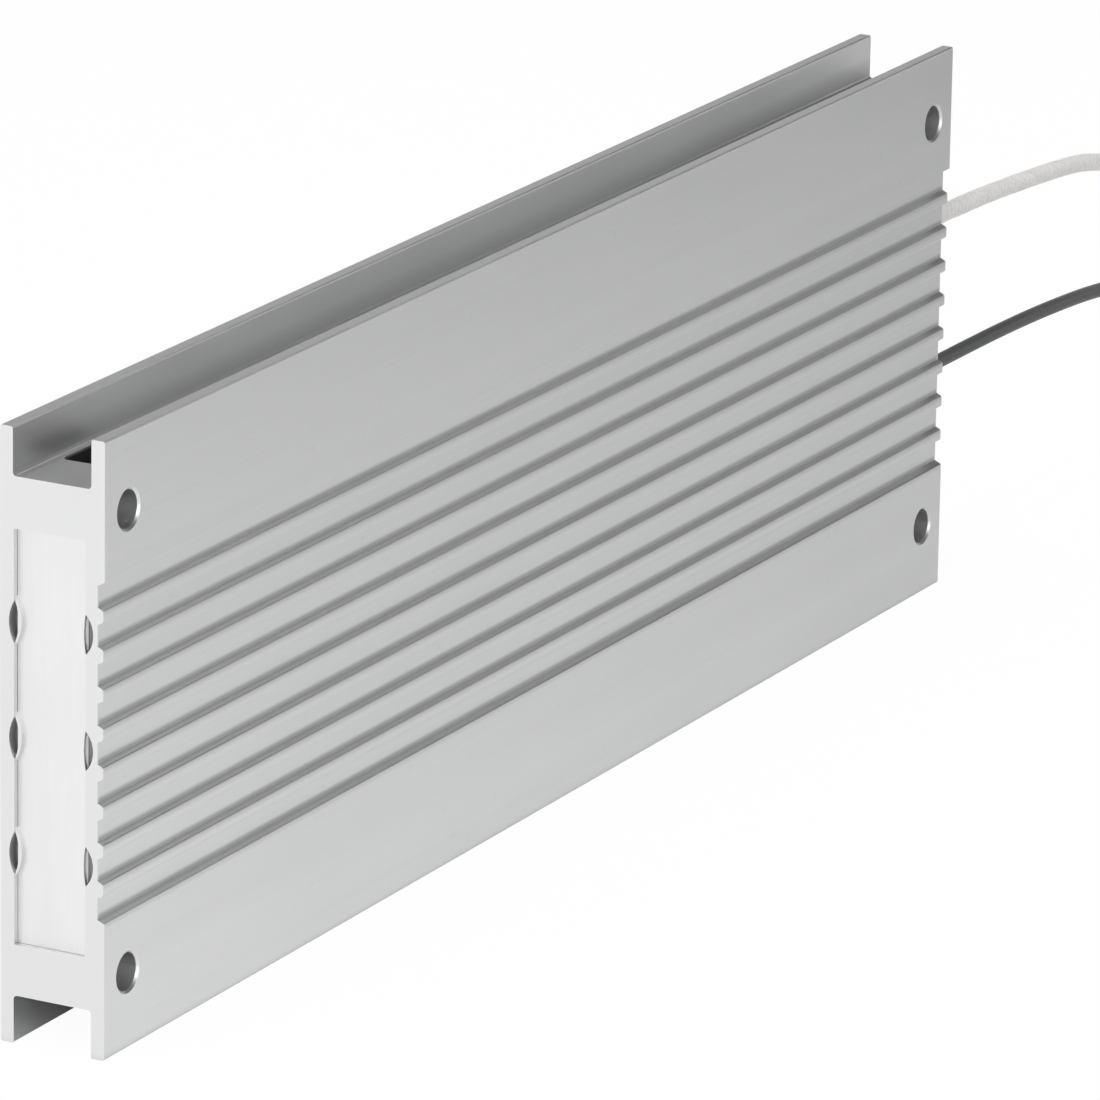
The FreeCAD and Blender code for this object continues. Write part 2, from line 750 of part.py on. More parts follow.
def make_sand():
    """Quartz sand fills the chamber round the cards, straps and terminals."""
    block = make_box(
        "sand_block",
        (f"sand_fit - {PACK_END}", f"{LINER_FRONT} + sand_fit", f"{STRIP_BOTTOM} + sand_fit"),
        (f"{PACK_END} - sand_fit", f"{LINER_REAR} - sand_fit", f"{STRIP_TOP} - sand_fit"),
    )
    ribbon_front = f"{CARD_FRONT} - ribbon_thickness - sand_fit"
    ribbon_rear = f"{CARD_REAR} + ribbon_thickness + sand_fit"
    rivet_front = f"{CARD_FRONT} - tab_thickness - rivet_head_thickness - sand_fit"
    rivet_rear = f"{CARD_REAR} + rivet_head_thickness + sand_fit"
    room = []
    for side, level in SIDES.items():
        low = f"{level} - card_height / 2 - sand_fit"
        high = f"{level} + card_height / 2 + sand_fit"
        room.append(
            make_box(
                f"room_card_{side}",
                (f"{CARD_START} - sand_fit", ribbon_front, low),
                (f"{CARD_END} + sand_fit", ribbon_rear, high),
            )
        )
        room.append(
            make_box(
                f"room_tab_{side}",
                (f"{TAB_START} - sand_fit", rivet_front, f"{level} - tab_width / 2 - sand_fit"),
                (
                    f"{BARREL_START} + tab_thickness + sand_fit",
                    rivet_rear,
                    f"{level} + tab_width / 2 + sand_fit",
                ),
            )
        )
        room.append(
            make_cylinder(
                f"room_barrel_{side}",
                (BARREL_START, CHAMBER_CENTRE, level),
                ALONG,
                "barrel_diameter / 2 + sand_fit",
                "barrel_length + sand_fit",
            )
        )
        room.append(
            make_cylinder(
                f"room_lead_{side}",
                (BARREL_MOUTH, CHAMBER_CENTRE, level),
                ALONG,
                "lead_diameter / 2 + lead_fit",
                "barrel_mouth_inset",
            )
        )
    room.append(
        make_box(
            "room_bridge",
            (
                f"{BRIDGE_END} - tab_width - sand_fit",
                rivet_front,
                f"{LOWER} - tab_width / 2 - sand_fit",
            ),
            (f"{BRIDGE_END} + sand_fit", rivet_rear, f"{UPPER} + tab_width / 2 + sand_fit"),
        )
    )
    cut("sand_fill", block, fuse("sand_room", room))


# Leads
def make_bushing(name, level):
    """A stepped bush in the end plate's hole, with its flange outside."""
    body = new_body(name)
    profile = new_sketch(body, "profile", "XZ_Plane", f"-{CHAMBER_CENTRE}")
    bore = f"{level} + lead_diameter / 2 + lead_fit"
    shank = f"{level} + {BUSHING_RADIUS}"
    rim = f"{level} + bushing_flange_diameter / 2"
    outside = f"{PLATE_FACE} + bushing_flange_thickness"
    add_outline(
        profile,
        [
            (PLATE_BACK, bore),
            (outside, bore),
            (outside, rim),
            (PLATE_FACE, rim),
            (PLATE_FACE, shank),
            (PLATE_BACK, shank),
        ],
    )
    axis = profile.addGeometry(
        Part.LineSegment(
            Vector(value(PLATE_BACK), value(level), 0), Vector(value(outside), value(level), 0)
        ),
        True,
    )
    pin_point(profile, axis, 1, PLATE_BACK, level)
    pin_point(profile, axis, 2, outside, level)
    turned = new_feature(body, "Revolution", "turned")
    turned.Profile = profile
    turned.ReferenceAxis = (profile, ["Axis0"])
    turned.Angle = 360
    document.recompute()


def straight_and_arcs(points):
    """Straight runs joined by tangent arcs, each as large as its two runs allow."""
    edges, radii, here = [], [], points[0]
    for before, corner, after in zip(points, points[1:], points[2:]):
        come, leave = corner - before, after - corner
        turn = come.getAngle(leave)
        reach = 0.45 * min(come.Length, leave.Length)
        radius = reach / math.tan(turn / 2)
        come.normalize()
        leave.normalize()
        start, end = corner - come * reach, corner + leave * reach
        inward = leave - come
        inward.normalize()
        centre = corner + inward * (radius / math.cos(turn / 2))
        crown = centre - inward * radius
        edges.append(Part.LineSegment(here, start).toShape())
        edges.append(Part.Arc(start, crown, end).toShape())
        radii.append(radius)
        here = end
    edges.append(Part.LineSegment(here, points[-1]).toShape())
    return Part.Wire(edges), radii


def sweep_round(path, points, thick):
    """A round rod along a path that starts at the first of these points."""
    ring = Part.Wire([Part.makeCircle(thick / 2, points[0], points[1] - points[0])])
    return path.makePipeShell([ring], True, False)


def make_tube(name, points):
    """A lead's uncoiled stretch: one round tube along its route."""
    thick = value("lead_diameter")
    path, radii = straight_and_arcs(points)
    tube = sweep_round(path, points, thick)
    section = math.pi * thick * thick / 4
    share = tube.Volume / (section * path.Length)
    print(f"{name}: {path.Length:.1f} mm, volume {share:.4f} of section times length")
    print("  radii", " ".join(f"{radius:.0f}" for radius in radii))
    return tube


def keep(name, shape):
    """A finished solid as an object of the document, under its node's name."""
    made = document.addObject("Part::Feature", name)
    made.Label = name
    made.Shape = shape.Solids[0]


def make_sleeve(points):
    """The close white sleeve round the first stretch of the white lead."""
    path, radii = straight_and_arcs(points)
    bore = value("sleeve_bore")
    outside = sweep_round(path, points, bore + 2 * value("sleeve_wall"))
    ring = outside.cut(sweep_round(path, points, bore))
    start = value(f"{PLATE_FACE} + bushing_flange_thickness")
    room = value("profile_height")
    stretch = Part.makeBox(
        value("sleeve_length"), room, room, Vector(start, -room / 2, 0)
    )
    keep("sleeve_white", ring.common(stretch))


def make_coil(name, centre, way, entry, arrives):
    """The outer shape of a coil that winds down to the floor, with both its ends."""
    thick, middle = value("lead_diameter"), value("coil_radius")
    half = thick / 2 + value("coil_slack")
    high = thick * (value("coil_turns") + 1) + value("coil_slack")
    ring = Part.makeCylinder(middle + half, high, centre, UP)
    ring = ring.cut(Part.makeCylinder(middle - half, high, centre, UP))
    drop = entry - arrives
    stub = Part.makeCylinder(thick / 2, drop.Length, arrives, drop)
    leaves = centre + Vector(0, -way * middle, thick / 2)
    tail = Part.makeCylinder(thick / 2, value("coil_tail"), leaves, ALONG)
    keep(name, ring.multiFuse([stub, tail]).removeSplitter())
    return leaves + ALONG * value("coil_tail")


def make_lead(colour, level, centre, way, entry_angle, from_exit, to_coil):
    """A lead from its terminal to a coil on the floor, ending in a bare conductor."""
    exit_point = Vector(value(HALF_LENGTH), value(CHAMBER_CENTRE), value(level))
    start = Vector(value(BARREL_MOUTH), exit_point.y, exit_point.z)
    angle = math.radians(entry_angle)
    round_ring = Vector(math.cos(angle), math.sin(angle), 0) * value("coil_radius")
    upper_turn = UP * (value("coil_turns") + 0.5) * value("lead_diameter")
    entry = centre + round_ring + upper_turn
    arrives = entry + to_coil[-1] * COIL_STUB_SHARE
    route = [start]
    route += [exit_point + step for step in from_exit]
    route += [entry + step for step in to_coil]
    route.append(arrives)
    keep(f"lead_{colour}", make_tube(f"lead_{colour}", route))
    tip = make_coil(f"lead_{colour}_coil", centre, way, entry, arrives)
    bare = Part.makeCylinder(
        value("conductor_diameter") / 2, value("stripped_length"), tip, ALONG
    )
    keep(f"conductor_end_{colour}", bare)
    return route


# Share of a lead's last run that belongs to its coil's solid
COIL_STUB_SHARE = 0.45

# Routes: first the steps from the lead's exit, then those back from its coil
WHITE_FROM_EXIT = [
    Vector(16.5, 0, 0),
    Vector(43.5, 0, -1.4),
    Vector(66.5, -0.3, -3.2),
    Vector(85.0, -1.2, -10.2),
]
WHITE_TO_COIL = [
    Vector(-24.8, 7.4, 25.3),
    Vector(-18.5, 5.8, 14.8),
    Vector(-14.3, 4.4, 6.2),
]
DARK_FROM_EXIT = [
    Vector(16.5, 0, 0),
    Vector(46.5, 0, -0.45),
    Vector(74.5, 0.3, -2.55),
    Vector(97.5, 1.8, -7.6),
]
DARK_TO_COIL = [
    Vector(-28.6, -5.1, 10.4),
    Vector(-13.1, -2.3, 5.8),
]


def make_leads():
    """Both leads hang out of the same end and are wound up one behind the other."""
    white_centre = Vector(value(f"{HALF_LENGTH} + coil_reach"), value(CHAMBER_CENTRE), 0)
    coil_width = value("2 * (coil_radius + lead_diameter / 2 + coil_slack)")
    dark_centre = white_centre + ALONG * (coil_width + value("coil_gap"))
    white_route = make_lead(
        "white", UPPER, white_centre, 1, -108, WHITE_FROM_EXIT, WHITE_TO_COIL
    )
    make_sleeve(white_route)
    make_lead("dark", LOWER, dark_centre, -1, 112, DARK_FROM_EXIT, DARK_TO_COIL)


# Assembly
make_housing()
PLATE_FIT, STACK_FIT = "end_plate_fit", "mica_fit"
PLATE_HOLE = f"{BUSHING_RADIUS} + end_plate_fit"
LEAD_HOLE = "lead_diameter / 2 + lead_fit"
make_end_sheet("end_plate_blind", f"-{PLATE_FACE}", "end_plate_thickness", PLATE_FIT)
make_end_sheet("end_plate_leads", PLATE_BACK, "end_plate_thickness", PLATE_FIT, PLATE_HOLE)
make_end_sheet(
    "end_insulator_blind", f"-{PLATE_BACK}", "end_insulator_thickness", STACK_FIT
)
make_end_sheet(
    "end_insulator_leads", PACK_END, "end_insulator_thickness", STACK_FIT, LEAD_HOLE
)
make_liners()
make_strips()
make_fill_plug()
for side, level in SIDES.items():
    make_card(side, level)
    make_winding(side, level)
    make_terminal(side, level)
make_bridge()
make_rivets()
make_sand()
make_bushing("bushing_white", UPPER)
make_bushing("bushing_dark", LOWER)
make_leads()
document.recompute()

# Nodes, one file each
NODES = [
    "housing",
    "end_plate_blind",
    "end_plate_leads",
    "end_insulator_blind",
    "end_insulator_leads",
    "mica_liner_front",
    "mica_liner_rear",
    "mica_strip_top",
    "mica_strip_bottom",
    "fill_plug",
    "card_upper",
    "card_lower",
    "winding_upper",
    "winding_lower",
    "bridge_strap",
    "terminal_upper",
    "terminal_lower",
    "rivets",
    "sand_fill",
    "bushing_white",
    "bushing_dark",
    "sleeve_white",
    "lead_white",
    "lead_white_coil",
    "conductor_end_white",
    "lead_dark",
    "lead_dark_coil",
    "conductor_end_dark",
]

broken = [
    thing.Name
    for thing in document.Objects
    if "Invalid" in thing.State or "Error" in thing.State
]
if broken:
    raise RuntimeError(f"objects with errors: {broken}")

os.makedirs("parts", exist_ok=True)
for name in NODES:
    shape = document.getObjectsByLabel(name)[0].Shape
    expected = 4 if name == "rivets" else 1
    if shape.isNull() or not shape.isValid() or len(shape.Solids) != expected:
        raise RuntimeError(f"{name} is not {expected} valid solid(s)")
    solids = shape.Solids
    whole = solids[0] if expected == 1 else Part.makeCompound(solids)
    whole.exportStep(f"parts/{name}.step")
    box = shape.BoundBox
    print(
        f"{name}: x {box.XMin:.2f} to {box.XMax:.2f}, y {box.YMin:.2f} to {box.YMax:.2f},"
        f" z {box.ZMin:.2f} to {box.ZMax:.2f}, {shape.Volume:.1f} mm3"
    )
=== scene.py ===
# %% [markdown]
# This lesson dresses a flat braking resistor. A braking resistor turns the energy that a
# motor gives back into heat: two wound cards sit in packed sand inside an aluminium profile,
# a plate is staked into each end, and two leads come out of one end. The profile, the plates
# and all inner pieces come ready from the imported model, so this file gives them their
# finishes, and makes what the solids only stand for: the leads, the braided sleeve, the
# stripped strands and the grains of the filling cement.

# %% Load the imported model
import json
import math

import bpy
from mathutils import Matrix, Vector


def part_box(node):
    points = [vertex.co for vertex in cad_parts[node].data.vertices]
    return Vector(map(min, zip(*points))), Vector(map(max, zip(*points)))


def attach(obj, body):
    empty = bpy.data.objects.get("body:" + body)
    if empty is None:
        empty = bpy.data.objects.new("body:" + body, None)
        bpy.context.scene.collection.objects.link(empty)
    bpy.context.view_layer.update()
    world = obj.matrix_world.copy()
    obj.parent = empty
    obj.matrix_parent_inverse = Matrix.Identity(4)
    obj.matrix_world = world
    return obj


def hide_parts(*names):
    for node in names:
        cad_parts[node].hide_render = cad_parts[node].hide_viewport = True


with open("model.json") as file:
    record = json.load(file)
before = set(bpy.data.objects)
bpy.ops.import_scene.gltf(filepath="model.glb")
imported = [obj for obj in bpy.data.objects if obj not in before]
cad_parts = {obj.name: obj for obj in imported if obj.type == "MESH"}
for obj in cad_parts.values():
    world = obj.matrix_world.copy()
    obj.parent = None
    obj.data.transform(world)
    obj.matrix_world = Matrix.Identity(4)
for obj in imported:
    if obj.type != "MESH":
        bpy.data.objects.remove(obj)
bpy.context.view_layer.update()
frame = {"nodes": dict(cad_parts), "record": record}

MM = 0.001
nodes_of_part = frame["nodes"]
housing_low, housing_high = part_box("housing")
print("profile", [round(size / MM, 1) for size in housing_high - housing_low])

# %% [markdown]
# The photograph was taken with a long lens, from the left of the ribbed side and a little
# above. A camera can be turned by angles, but it is safer to build its three axes by hand:
# back points from the object to the lens, right lies level, and up follows from both. A
# slight roll is added by turning right and up about back.

# %% Camera
VIEW_AZIMUTH = -1.0806
VIEW_ELEVATION = 0.2962
VIEW_ROLL = 0.0163
VIEW_DISTANCE = 1257.6 * MM
VIEW_TARGET = Vector((11.83 * MM, 0, 31.32 * MM))
FOCAL_PIXELS = 9310.1
FRAME_PIXELS = 1100
SENSOR = 36.0
SEEN_FROM = 0.05
SEEN_UP_TO = 50


def put_in_scene(name, data):
    """A new object in the scene, made of some data."""
    thing = bpy.data.objects.new(name, data)
    bpy.context.collection.objects.link(thing)
    return thing


back = Vector((
    math.sin(VIEW_AZIMUTH) * math.cos(VIEW_ELEVATION),
    -math.cos(VIEW_AZIMUTH) * math.cos(VIEW_ELEVATION),
    math.sin(VIEW_ELEVATION),
))
level_right = Vector((math.cos(VIEW_AZIMUTH), math.sin(VIEW_AZIMUTH), 0))
level_up = back.cross(level_right)
right = level_right * math.cos(VIEW_ROLL) + level_up * math.sin(VIEW_ROLL)
up = level_up * math.cos(VIEW_ROLL) - level_right * math.sin(VIEW_ROLL)

camera = put_in_scene("camera", bpy.data.cameras.new("camera"))
camera.data.sensor_width = SENSOR
camera.data.lens = FOCAL_PIXELS / FRAME_PIXELS * SENSOR
camera.data.clip_start = SEEN_FROM
camera.data.clip_end = SEEN_UP_TO
turned = Matrix((right, up, back)).transposed().to_4x4()
camera.matrix_world = Matrix.Translation(VIEW_TARGET + back * VIEW_DISTANCE) @ turned
bpy.context.scene.camera = camera
bpy.context.scene.view_settings.view_transform = "Standard"
print("lens", round(camera.data.lens, 1), "mm")

# %% [markdown]
# A lead is one smooth curve. A NURBS spline of order 3 is pulled towards its control points
# without passing through them, which gives the soft bends of a silicone wire. The points
# start in the terminal inside the profile, leave the end plate level, sag under gravity and
# run down to a small coil of two turns. The lead is 0.3 m long, and the photograph shows only
# its first part, so the rest is wound up on the floor.

# %% Routes of the two leads
LEAD_DIAMETER = 2.1 * MM
LEAD_TURNS = 2
COIL_RADIUS = 10.5 * MM
COIL_TAIL = 8.0 * MM
TAIL_SHARES = (0.6, 1.0)
TURN_STEPS = 14

coil_centres = {
    "white": Vector((243.0, 0.4, 0)) * MM,
    "dark": Vector((267.5, 0.4, 0)) * MM,
}
WHITE_ROUTE = [
    (101.0, 0.4, 51.25),
    (134.0, 0.4, 51.25),
    (161.0, 0.4, 49.85),
    (184.0, 0.1, 48.05),
    (202.5, -0.8, 41.05),
    (214.96, -2.19, 30.55),
    (221.26, -3.79, 20.05),
    (225.46, -5.19, 11.45),
]
DARK_ROUTE = [
    (101.0, 0.4, 28.75),
    (134.0, 0.4, 28.75),
    (164.0, 0.4, 28.3),
    (192.0, 0.7, 26.2),
    (215.0, 2.2, 21.15),
    (234.97, 5.04, 15.65),
    (250.47, 7.84, 11.05),
]


def coil_points(centre, entry_degrees, exit_degrees, way):
    """Control points of the turns: each lies on the one below it by half turns."""
    total = (exit_degrees - entry_degrees) * way + 360 * LEAD_TURNS
    steps = math.ceil(total / 360 * TURN_STEPS)
    reach = COIL_RADIUS / math.cos(math.radians(total / steps / 2))
    points = []
    for k in range(steps + 1):
        done = total * k / steps
        left = total - done
        layer = int(left // 360)
        climb = min(max((left - layer * 360 - 180) / 180, 0), 1)
        angle = math.radians(entry_degrees + way * done)
        height = LEAD_DIAMETER * (0.5 + layer + climb)
        points.append(centre + Vector((
            reach * math.cos(angle), reach * math.sin(angle), height,
        )))
    tangent = centre + Vector((0, -way * COIL_RADIUS, LEAD_DIAMETER / 2))
    for share in TAIL_SHARES:
        points.append(tangent + Vector((COIL_TAIL * share, 0, 0)))
    return points


white_points = [Vector(point) * MM for point in WHITE_ROUTE]
white_points += coil_points(coil_centres["white"], entry_degrees=-108, exit_degrees=-90, way=1)
dark_points = [Vector(point) * MM for point in DARK_ROUTE]
dark_points += coil_points(coil_centres["dark"], entry_degrees=112, exit_degrees=90, way=-1)
print("control points", len(white_points), len(dark_points))

# %% Make each lead one curve
STEPS_ALONG = 12
STEPS_AROUND = 6


def spline_curve(name, points, thickness):
    """A round cord of one open NURBS spline through the pull of its points."""
    curve = bpy.data.curves.new(name, "CURVE")
    curve.dimensions = "3D"
    spline = curve.splines.new("NURBS")
    spline.points.add(len(points) - 1)
    for spline_point, place in zip(spline.points, points):
        spline_point.co = (*place, 1)
        spline_point.radius = thickness / 2
    spline.order_u = 3
    spline.use_endpoint_u = True
    spline.resolution_u = STEPS_ALONG
    curve.bevel_depth = 1.0
    curve.bevel_resolution = STEPS_AROUND
    curve.use_fill_caps = True
    return put_in_scene(name, curve)


white_lead = spline_curve("lead_white_insulation", white_points, LEAD_DIAMETER)
dark_lead = spline_curve("lead_dark_insulation", dark_points, LEAD_DIAMETER)
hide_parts("lead_white", "lead_white_coil")
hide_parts("lead_dark", "lead_dark_coil")
for lead, slot_name in ((white_lead, "white_insulation"), (dark_lead, "dark_insulation")):
    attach(lead, "root")
    print("curve", lead.name)

# %% [markdown]
# The floor, the sky, the finishes and the pieces that Geometry Nodes make are all built as
# node trees. Written out, each node and each link takes a line, so these helpers save
# typing: one feeds a socket with a value or a link, one adds a node with its inputs fed, and
# the others add the few sums that come back everywhere.

# %% Helpers for node trees
def feed(tree, socket, source):
    """Give a socket a constant, a link or a node's first output."""
    if isinstance(source, bpy.types.Node):
        source = source.outputs[0]
    if isinstance(source, bpy.types.NodeSocket):
        tree.links.new(source, socket)
    else:
        socket.default_value = source


def feed_all(tree, node, *in_order, **by_name):
    """Feed a node's first inputs in order and others by name, with _ for a space."""
    for socket, source in zip(node.inputs, in_order):
        feed(tree, socket, source)
    for label, source in by_name.items():
        if source is not None:
            feed(tree, node.inputs[label.replace("_", " ")], source)
    return node


def add_node(tree, kind, *in_order, **by_name):
    """A new node with its inputs fed."""
    return feed_all(tree, tree.nodes.new(kind), *in_order, **by_name)


def coordinate(tree, kind):
    """The place on the object, its normal, or another of its coordinates."""
    return tree.nodes.new("ShaderNodeTexCoord").outputs[kind]


def split(tree, vector):
    """The X, Y and Z of a vector."""
    return add_node(tree, "ShaderNodeSeparateXYZ", vector).outputs


def reckon(tree, operation, *numbers):
    """One Math node."""
    node = tree.nodes.new("ShaderNodeMath")
    node.operation = operation
    return feed_all(tree, node, *numbers).outputs[0]


def product(tree, first, *others):
    """Several numbers multiplied, from the left."""
    for other in others:
        first = reckon(tree, "MULTIPLY", first, other)
    return first


def weigh(tree, first, second, share):
    """A share of the first number and the rest of the second."""
    rest = product(tree, second, 1 - share)
    return reckon(tree, "ADD", product(tree, first, share), rest)


def reckon_vector(tree, operation, *vectors, scale=None):
    """One Vector Math node; the dot product and the length come out as a number."""
    node = tree.nodes.new("ShaderNodeVectorMath")
    node.operation = operation
    feed_all(tree, node, *vectors, Scale=scale)
    return node.outputs["Value" if operation in ("DOT_PRODUCT", "LENGTH") else "Vector"]


def stretch_range(tree, source, start, end, low=0.0, high=1.0, ease="LINEAR"):
    """Turn the span from start to end into the span from low to high."""
    node = tree.nodes.new("ShaderNodeMapRange")
    node.interpolation_type = ease
    feed_all(tree, node, Value=source, From_Min=start, From_Max=end, To_Min=low, To_Max=high)
    return node.outputs["Result"]


def vary(tree, share, low, high):
    """A number that goes from low to high as a share goes from 0 to 1."""
    return stretch_range(tree, share, 0.0, 1.0, low, high)


# %% [markdown]
# The floor is a large pale sheet. Seen directly it is nearly all its own glow, so it comes
# out white, but a part of its shade is real light and keeps the object's shadow. Metal that
# mirrors it sees less of the glow and more of the real light: under the object that is dark,
# and the lower channel needs it. The mirrored glow also falls off from the near end to the
# far one, because in the photograph the ribbed side gets darker that way, and there is none
# under the object. Light Path tells the cases apart, and it belongs in the stage only, never
# in the object's own materials.

# %% Floor
FLOOR_HALF = 6.0
FLOOR_TONE = 0.82
GLOW_STRENGTH = 1.03
GLOW_SEEN = 0.93
GLOW_MIRRORED_NEAR = 0.92
GLOW_MIRRORED_FAR = 0.0
GLOW_SPAN = (-0.15, 0.33)
FOOTPRINT = (0.1175, 0.0075)
FOOTPRINT_EDGE = (-0.0005, 0.0010)


def flat_face(name, low_x, low_y, high_x, high_y, level):
    """A mesh of one level rectangle."""
    mesh = bpy.data.meshes.new(name)
    corners = [(low_x, low_y), (high_x, low_y), (high_x, high_y), (low_x, high_y)]
    mesh.from_pydata([(*corner, level) for corner in corners], [], [(0, 1, 2, 3)])
    return mesh


sheet = flat_face("floor", -FLOOR_HALF, -FLOOR_HALF, FLOOR_HALF, FLOOR_HALF, 0)
floor = put_in_scene("floor", sheet)
paper = bpy.data.materials.new("floor_paper")
paper.use_nodes = True
tree = paper.node_tree
tree.nodes.clear()
path = tree.nodes.new("ShaderNodeLightPath").outputs
spot = split(tree, coordinate(tree, "Object"))
fall_off = stretch_range(tree, spot["X"], *GLOW_SPAN, GLOW_MIRRORED_NEAR, GLOW_MIRRORED_FAR)
clear_of = []
for axis, half in zip("XY", FOOTPRINT):
    limits = [half + edge for edge in FOOTPRINT_EDGE]
    clear_of.append(stretch_range(tree, reckon(tree, "ABSOLUTE", spot[axis]), *limits))
clear = reckon(tree, "MAXIMUM", *clear_of)
mirrored = reckon(tree, "MAXIMUM", path["Is Glossy Ray"], path["Is Transmission Ray"])
mirrored_share = product(tree, mirrored, product(tree, fall_off, clear))
glow_share = reckon(tree, "MULTIPLY_ADD", path["Is Camera Ray"], GLOW_SEEN, mirrored_share)
sheen = add_node(tree, "ShaderNodeBsdfDiffuse", Color=(FLOOR_TONE, FLOOR_TONE, FLOOR_TONE, 1))
glow = add_node(tree, "ShaderNodeEmission", Color=(1, 1, 1, 1), Strength=GLOW_STRENGTH)
blend = add_node(tree, "ShaderNodeMixShader", glow_share, sheen, glow)
add_node(tree, "ShaderNodeOutputMaterial", Surface=blend)
floor.data.materials.append(paper)
print("floor", 2 * FLOOR_HALF, "m wide")

# %% [markdown]
# Metal shows what surrounds it, so the light is planned as a room. The sky is pale near the
# horizon, where the flanges' top edges and the upper channel mirror it, and dark above, where
# the sloping sides of the grooves do: they are the darkest lines in the photograph. A large
# soft lamp low on the left makes the near end the brightest face, a weaker one in front
# lights the ribbed side, one overhead lights the floor and the channel, and a small one over
# the leads keeps the white sleeve white. The key and the overhead lamp are so large that
# they are no brighter than white paper, so metal that mirrors them keeps its tone.

# %% Sky and lamps
SKY_LOW = 0.94
SKY_HIGH = 0.02
SKY_PALE_UP_TO = 0.20
SKY_DARK_FROM = 0.45

world = bpy.data.worlds.new("studio")
bpy.context.scene.world = world
world.use_nodes = True
tree = world.node_tree
tree.nodes.clear()
climb = split(tree, coordinate(tree, "Generated"))["Z"]
shade = stretch_range(
    tree, climb, SKY_PALE_UP_TO, SKY_DARK_FROM, SKY_LOW, SKY_HIGH, ease="SMOOTHSTEP"
)
sky = add_node(tree, "ShaderNodeBackground", Color=shade)
add_node(tree, "ShaderNodeOutputWorld", Surface=sky)


def soft_lamp(name, place, aim, width, power):
    """A square lamp turned towards a point."""
    data = bpy.data.lights.new(name, "AREA")
    data.shape = "SQUARE"
    data.size = width
    data.energy = power
    lamp = put_in_scene(name, data)
    lamp.location = place
    lamp.rotation_euler = (Vector(aim) - Vector(place)).to_track_quat("-Z", "Y").to_euler()
    print("lamp", name, power, "W")


soft_lamp("key", place=(-1.5, 0.12, 0.5), aim=(0, 0, 0.04), width=1.9, power=9.9)
soft_lamp("front", place=(-0.9, -1.5, 0.45), aim=(0, 0, 0.04), width=1.0, power=7.1)
soft_lamp("overhead", place=(-0.75, 0.42, 1.5), aim=(0, 0, 0), width=2.6, power=21)
soft_lamp("leads", place=(0.21, -0.015, 0.5), aim=(0.2, 0, 0.04), width=0.2, power=0.45)

# %% [markdown]
# The finishes are built from a few effects that several of them share. Each effect is a small
# node group with named inputs and outputs, like a plug-in: it gets the place on the object and
# a few sizes, and gives back masks and heights. Everything reads Object coordinates, so a
# pattern stays on its piece.

# %% Helpers for effects
CLOUD_SPAN = (0.3, 0.7)


def cloud(tree, place, scale, detail):
    """Soft noise, whose middle span is stretched to the whole range from 0 to 1."""
    noise = add_node(tree, "ShaderNodeTexNoise", Vector=place, Scale=scale, Detail=detail)
    return stretch_range(tree, noise.outputs["Fac"], *CLOUD_SPAN)


def new_effect(name, sizes, outputs):
    """A shader node group that takes a place and some sizes."""
    effect = bpy.data.node_groups.new(name, "ShaderNodeTree")
    effect.interface.new_socket("Place", in_out="INPUT", socket_type="NodeSocketVector")
    for label, amount in sizes.items():
        socket = effect.interface.new_socket(
            label, in_out="INPUT", socket_type="NodeSocketFloat"
        )
        socket.default_value = amount
    for label in outputs:
        effect.interface.new_socket(label, in_out="OUTPUT", socket_type="NodeSocketFloat")
    given = effect.nodes.new("NodeGroupInput").outputs
    result = effect.nodes.new("NodeGroupOutput")
    print("effect", name, "puts out", *outputs)
    return effect, given, result


# %% [markdown]
# An extruded profile is pushed through a steel die, and the die leaves fine lines all along
# it. Noise squeezed to long threads along X gives them: the place is multiplied by a small
# number along X before it reaches the noise. Fine threads lie over broader bands.

# %% Effect: die lines
BROAD_SCALE = 0.09

die_lines, given, result = new_effect(
    "die_lines", {"Lines per metre": 2400.0, "Stretch": 0.006}, ("Streak", "Height")
)
squeeze = add_node(die_lines, "ShaderNodeCombineXYZ", given["Stretch"], 1, 1)
threads = reckon_vector(die_lines, "MULTIPLY", given["Place"], squeeze)
fine = cloud(die_lines, threads, given["Lines per metre"], detail=4.0)
broad_lines = product(die_lines, given["Lines per metre"], BROAD_SCALE)
broad = cloud(die_lines, threads, broad_lines, detail=2.0)
feed_all(die_lines, result, Streak=weigh(die_lines, fine, broad, share=0.45), Height=fine)

# %% [markdown]
# Edges of soft metal get rubbed bright. The Bevel node gives the normal that a rounded edge
# would have; where it differs from the real normal, there is an edge. Noise breaks the line
# up, so it isn't an even stripe.

# %% Effect: worn edges
BEVEL_SAMPLES = 6
LIKENESS_SPAN = (0.995, 0.80)

worn_edges, given, result = new_effect(
    "worn_edges", {"Radius": 0.0005, "Patches per metre": 350.0}, ("Edge",)
)
rounded = add_node(worn_edges, "ShaderNodeBevel", Radius=given["Radius"])
rounded.samples = BEVEL_SAMPLES
surface = worn_edges.nodes.new("ShaderNodeNewGeometry").outputs["Normal"]
likeness = reckon_vector(worn_edges, "DOT_PRODUCT", rounded, surface)
edge = stretch_range(worn_edges, likeness, *LIKENESS_SPAN)
breaks = cloud(worn_edges, given["Place"], given["Patches per metre"], detail=2.0)
breaks = vary(worn_edges, breaks, 0.35, 1.0)
feed_all(worn_edges, result, Edge=product(worn_edges, edge, breaks))

# %% [markdown]
# Two more effects serve nearly everything here. Grain is the fine tooth of etched metal, sand,
# cement or rubber: cells give its height, noise its shade. Patches are the wide, soft changes
# that handling and storage leave, with a few small specks.

# %% Effects: grain and patches
CELL_REACH = 0.8
SPECK_SPAN = (0.70, 0.78)

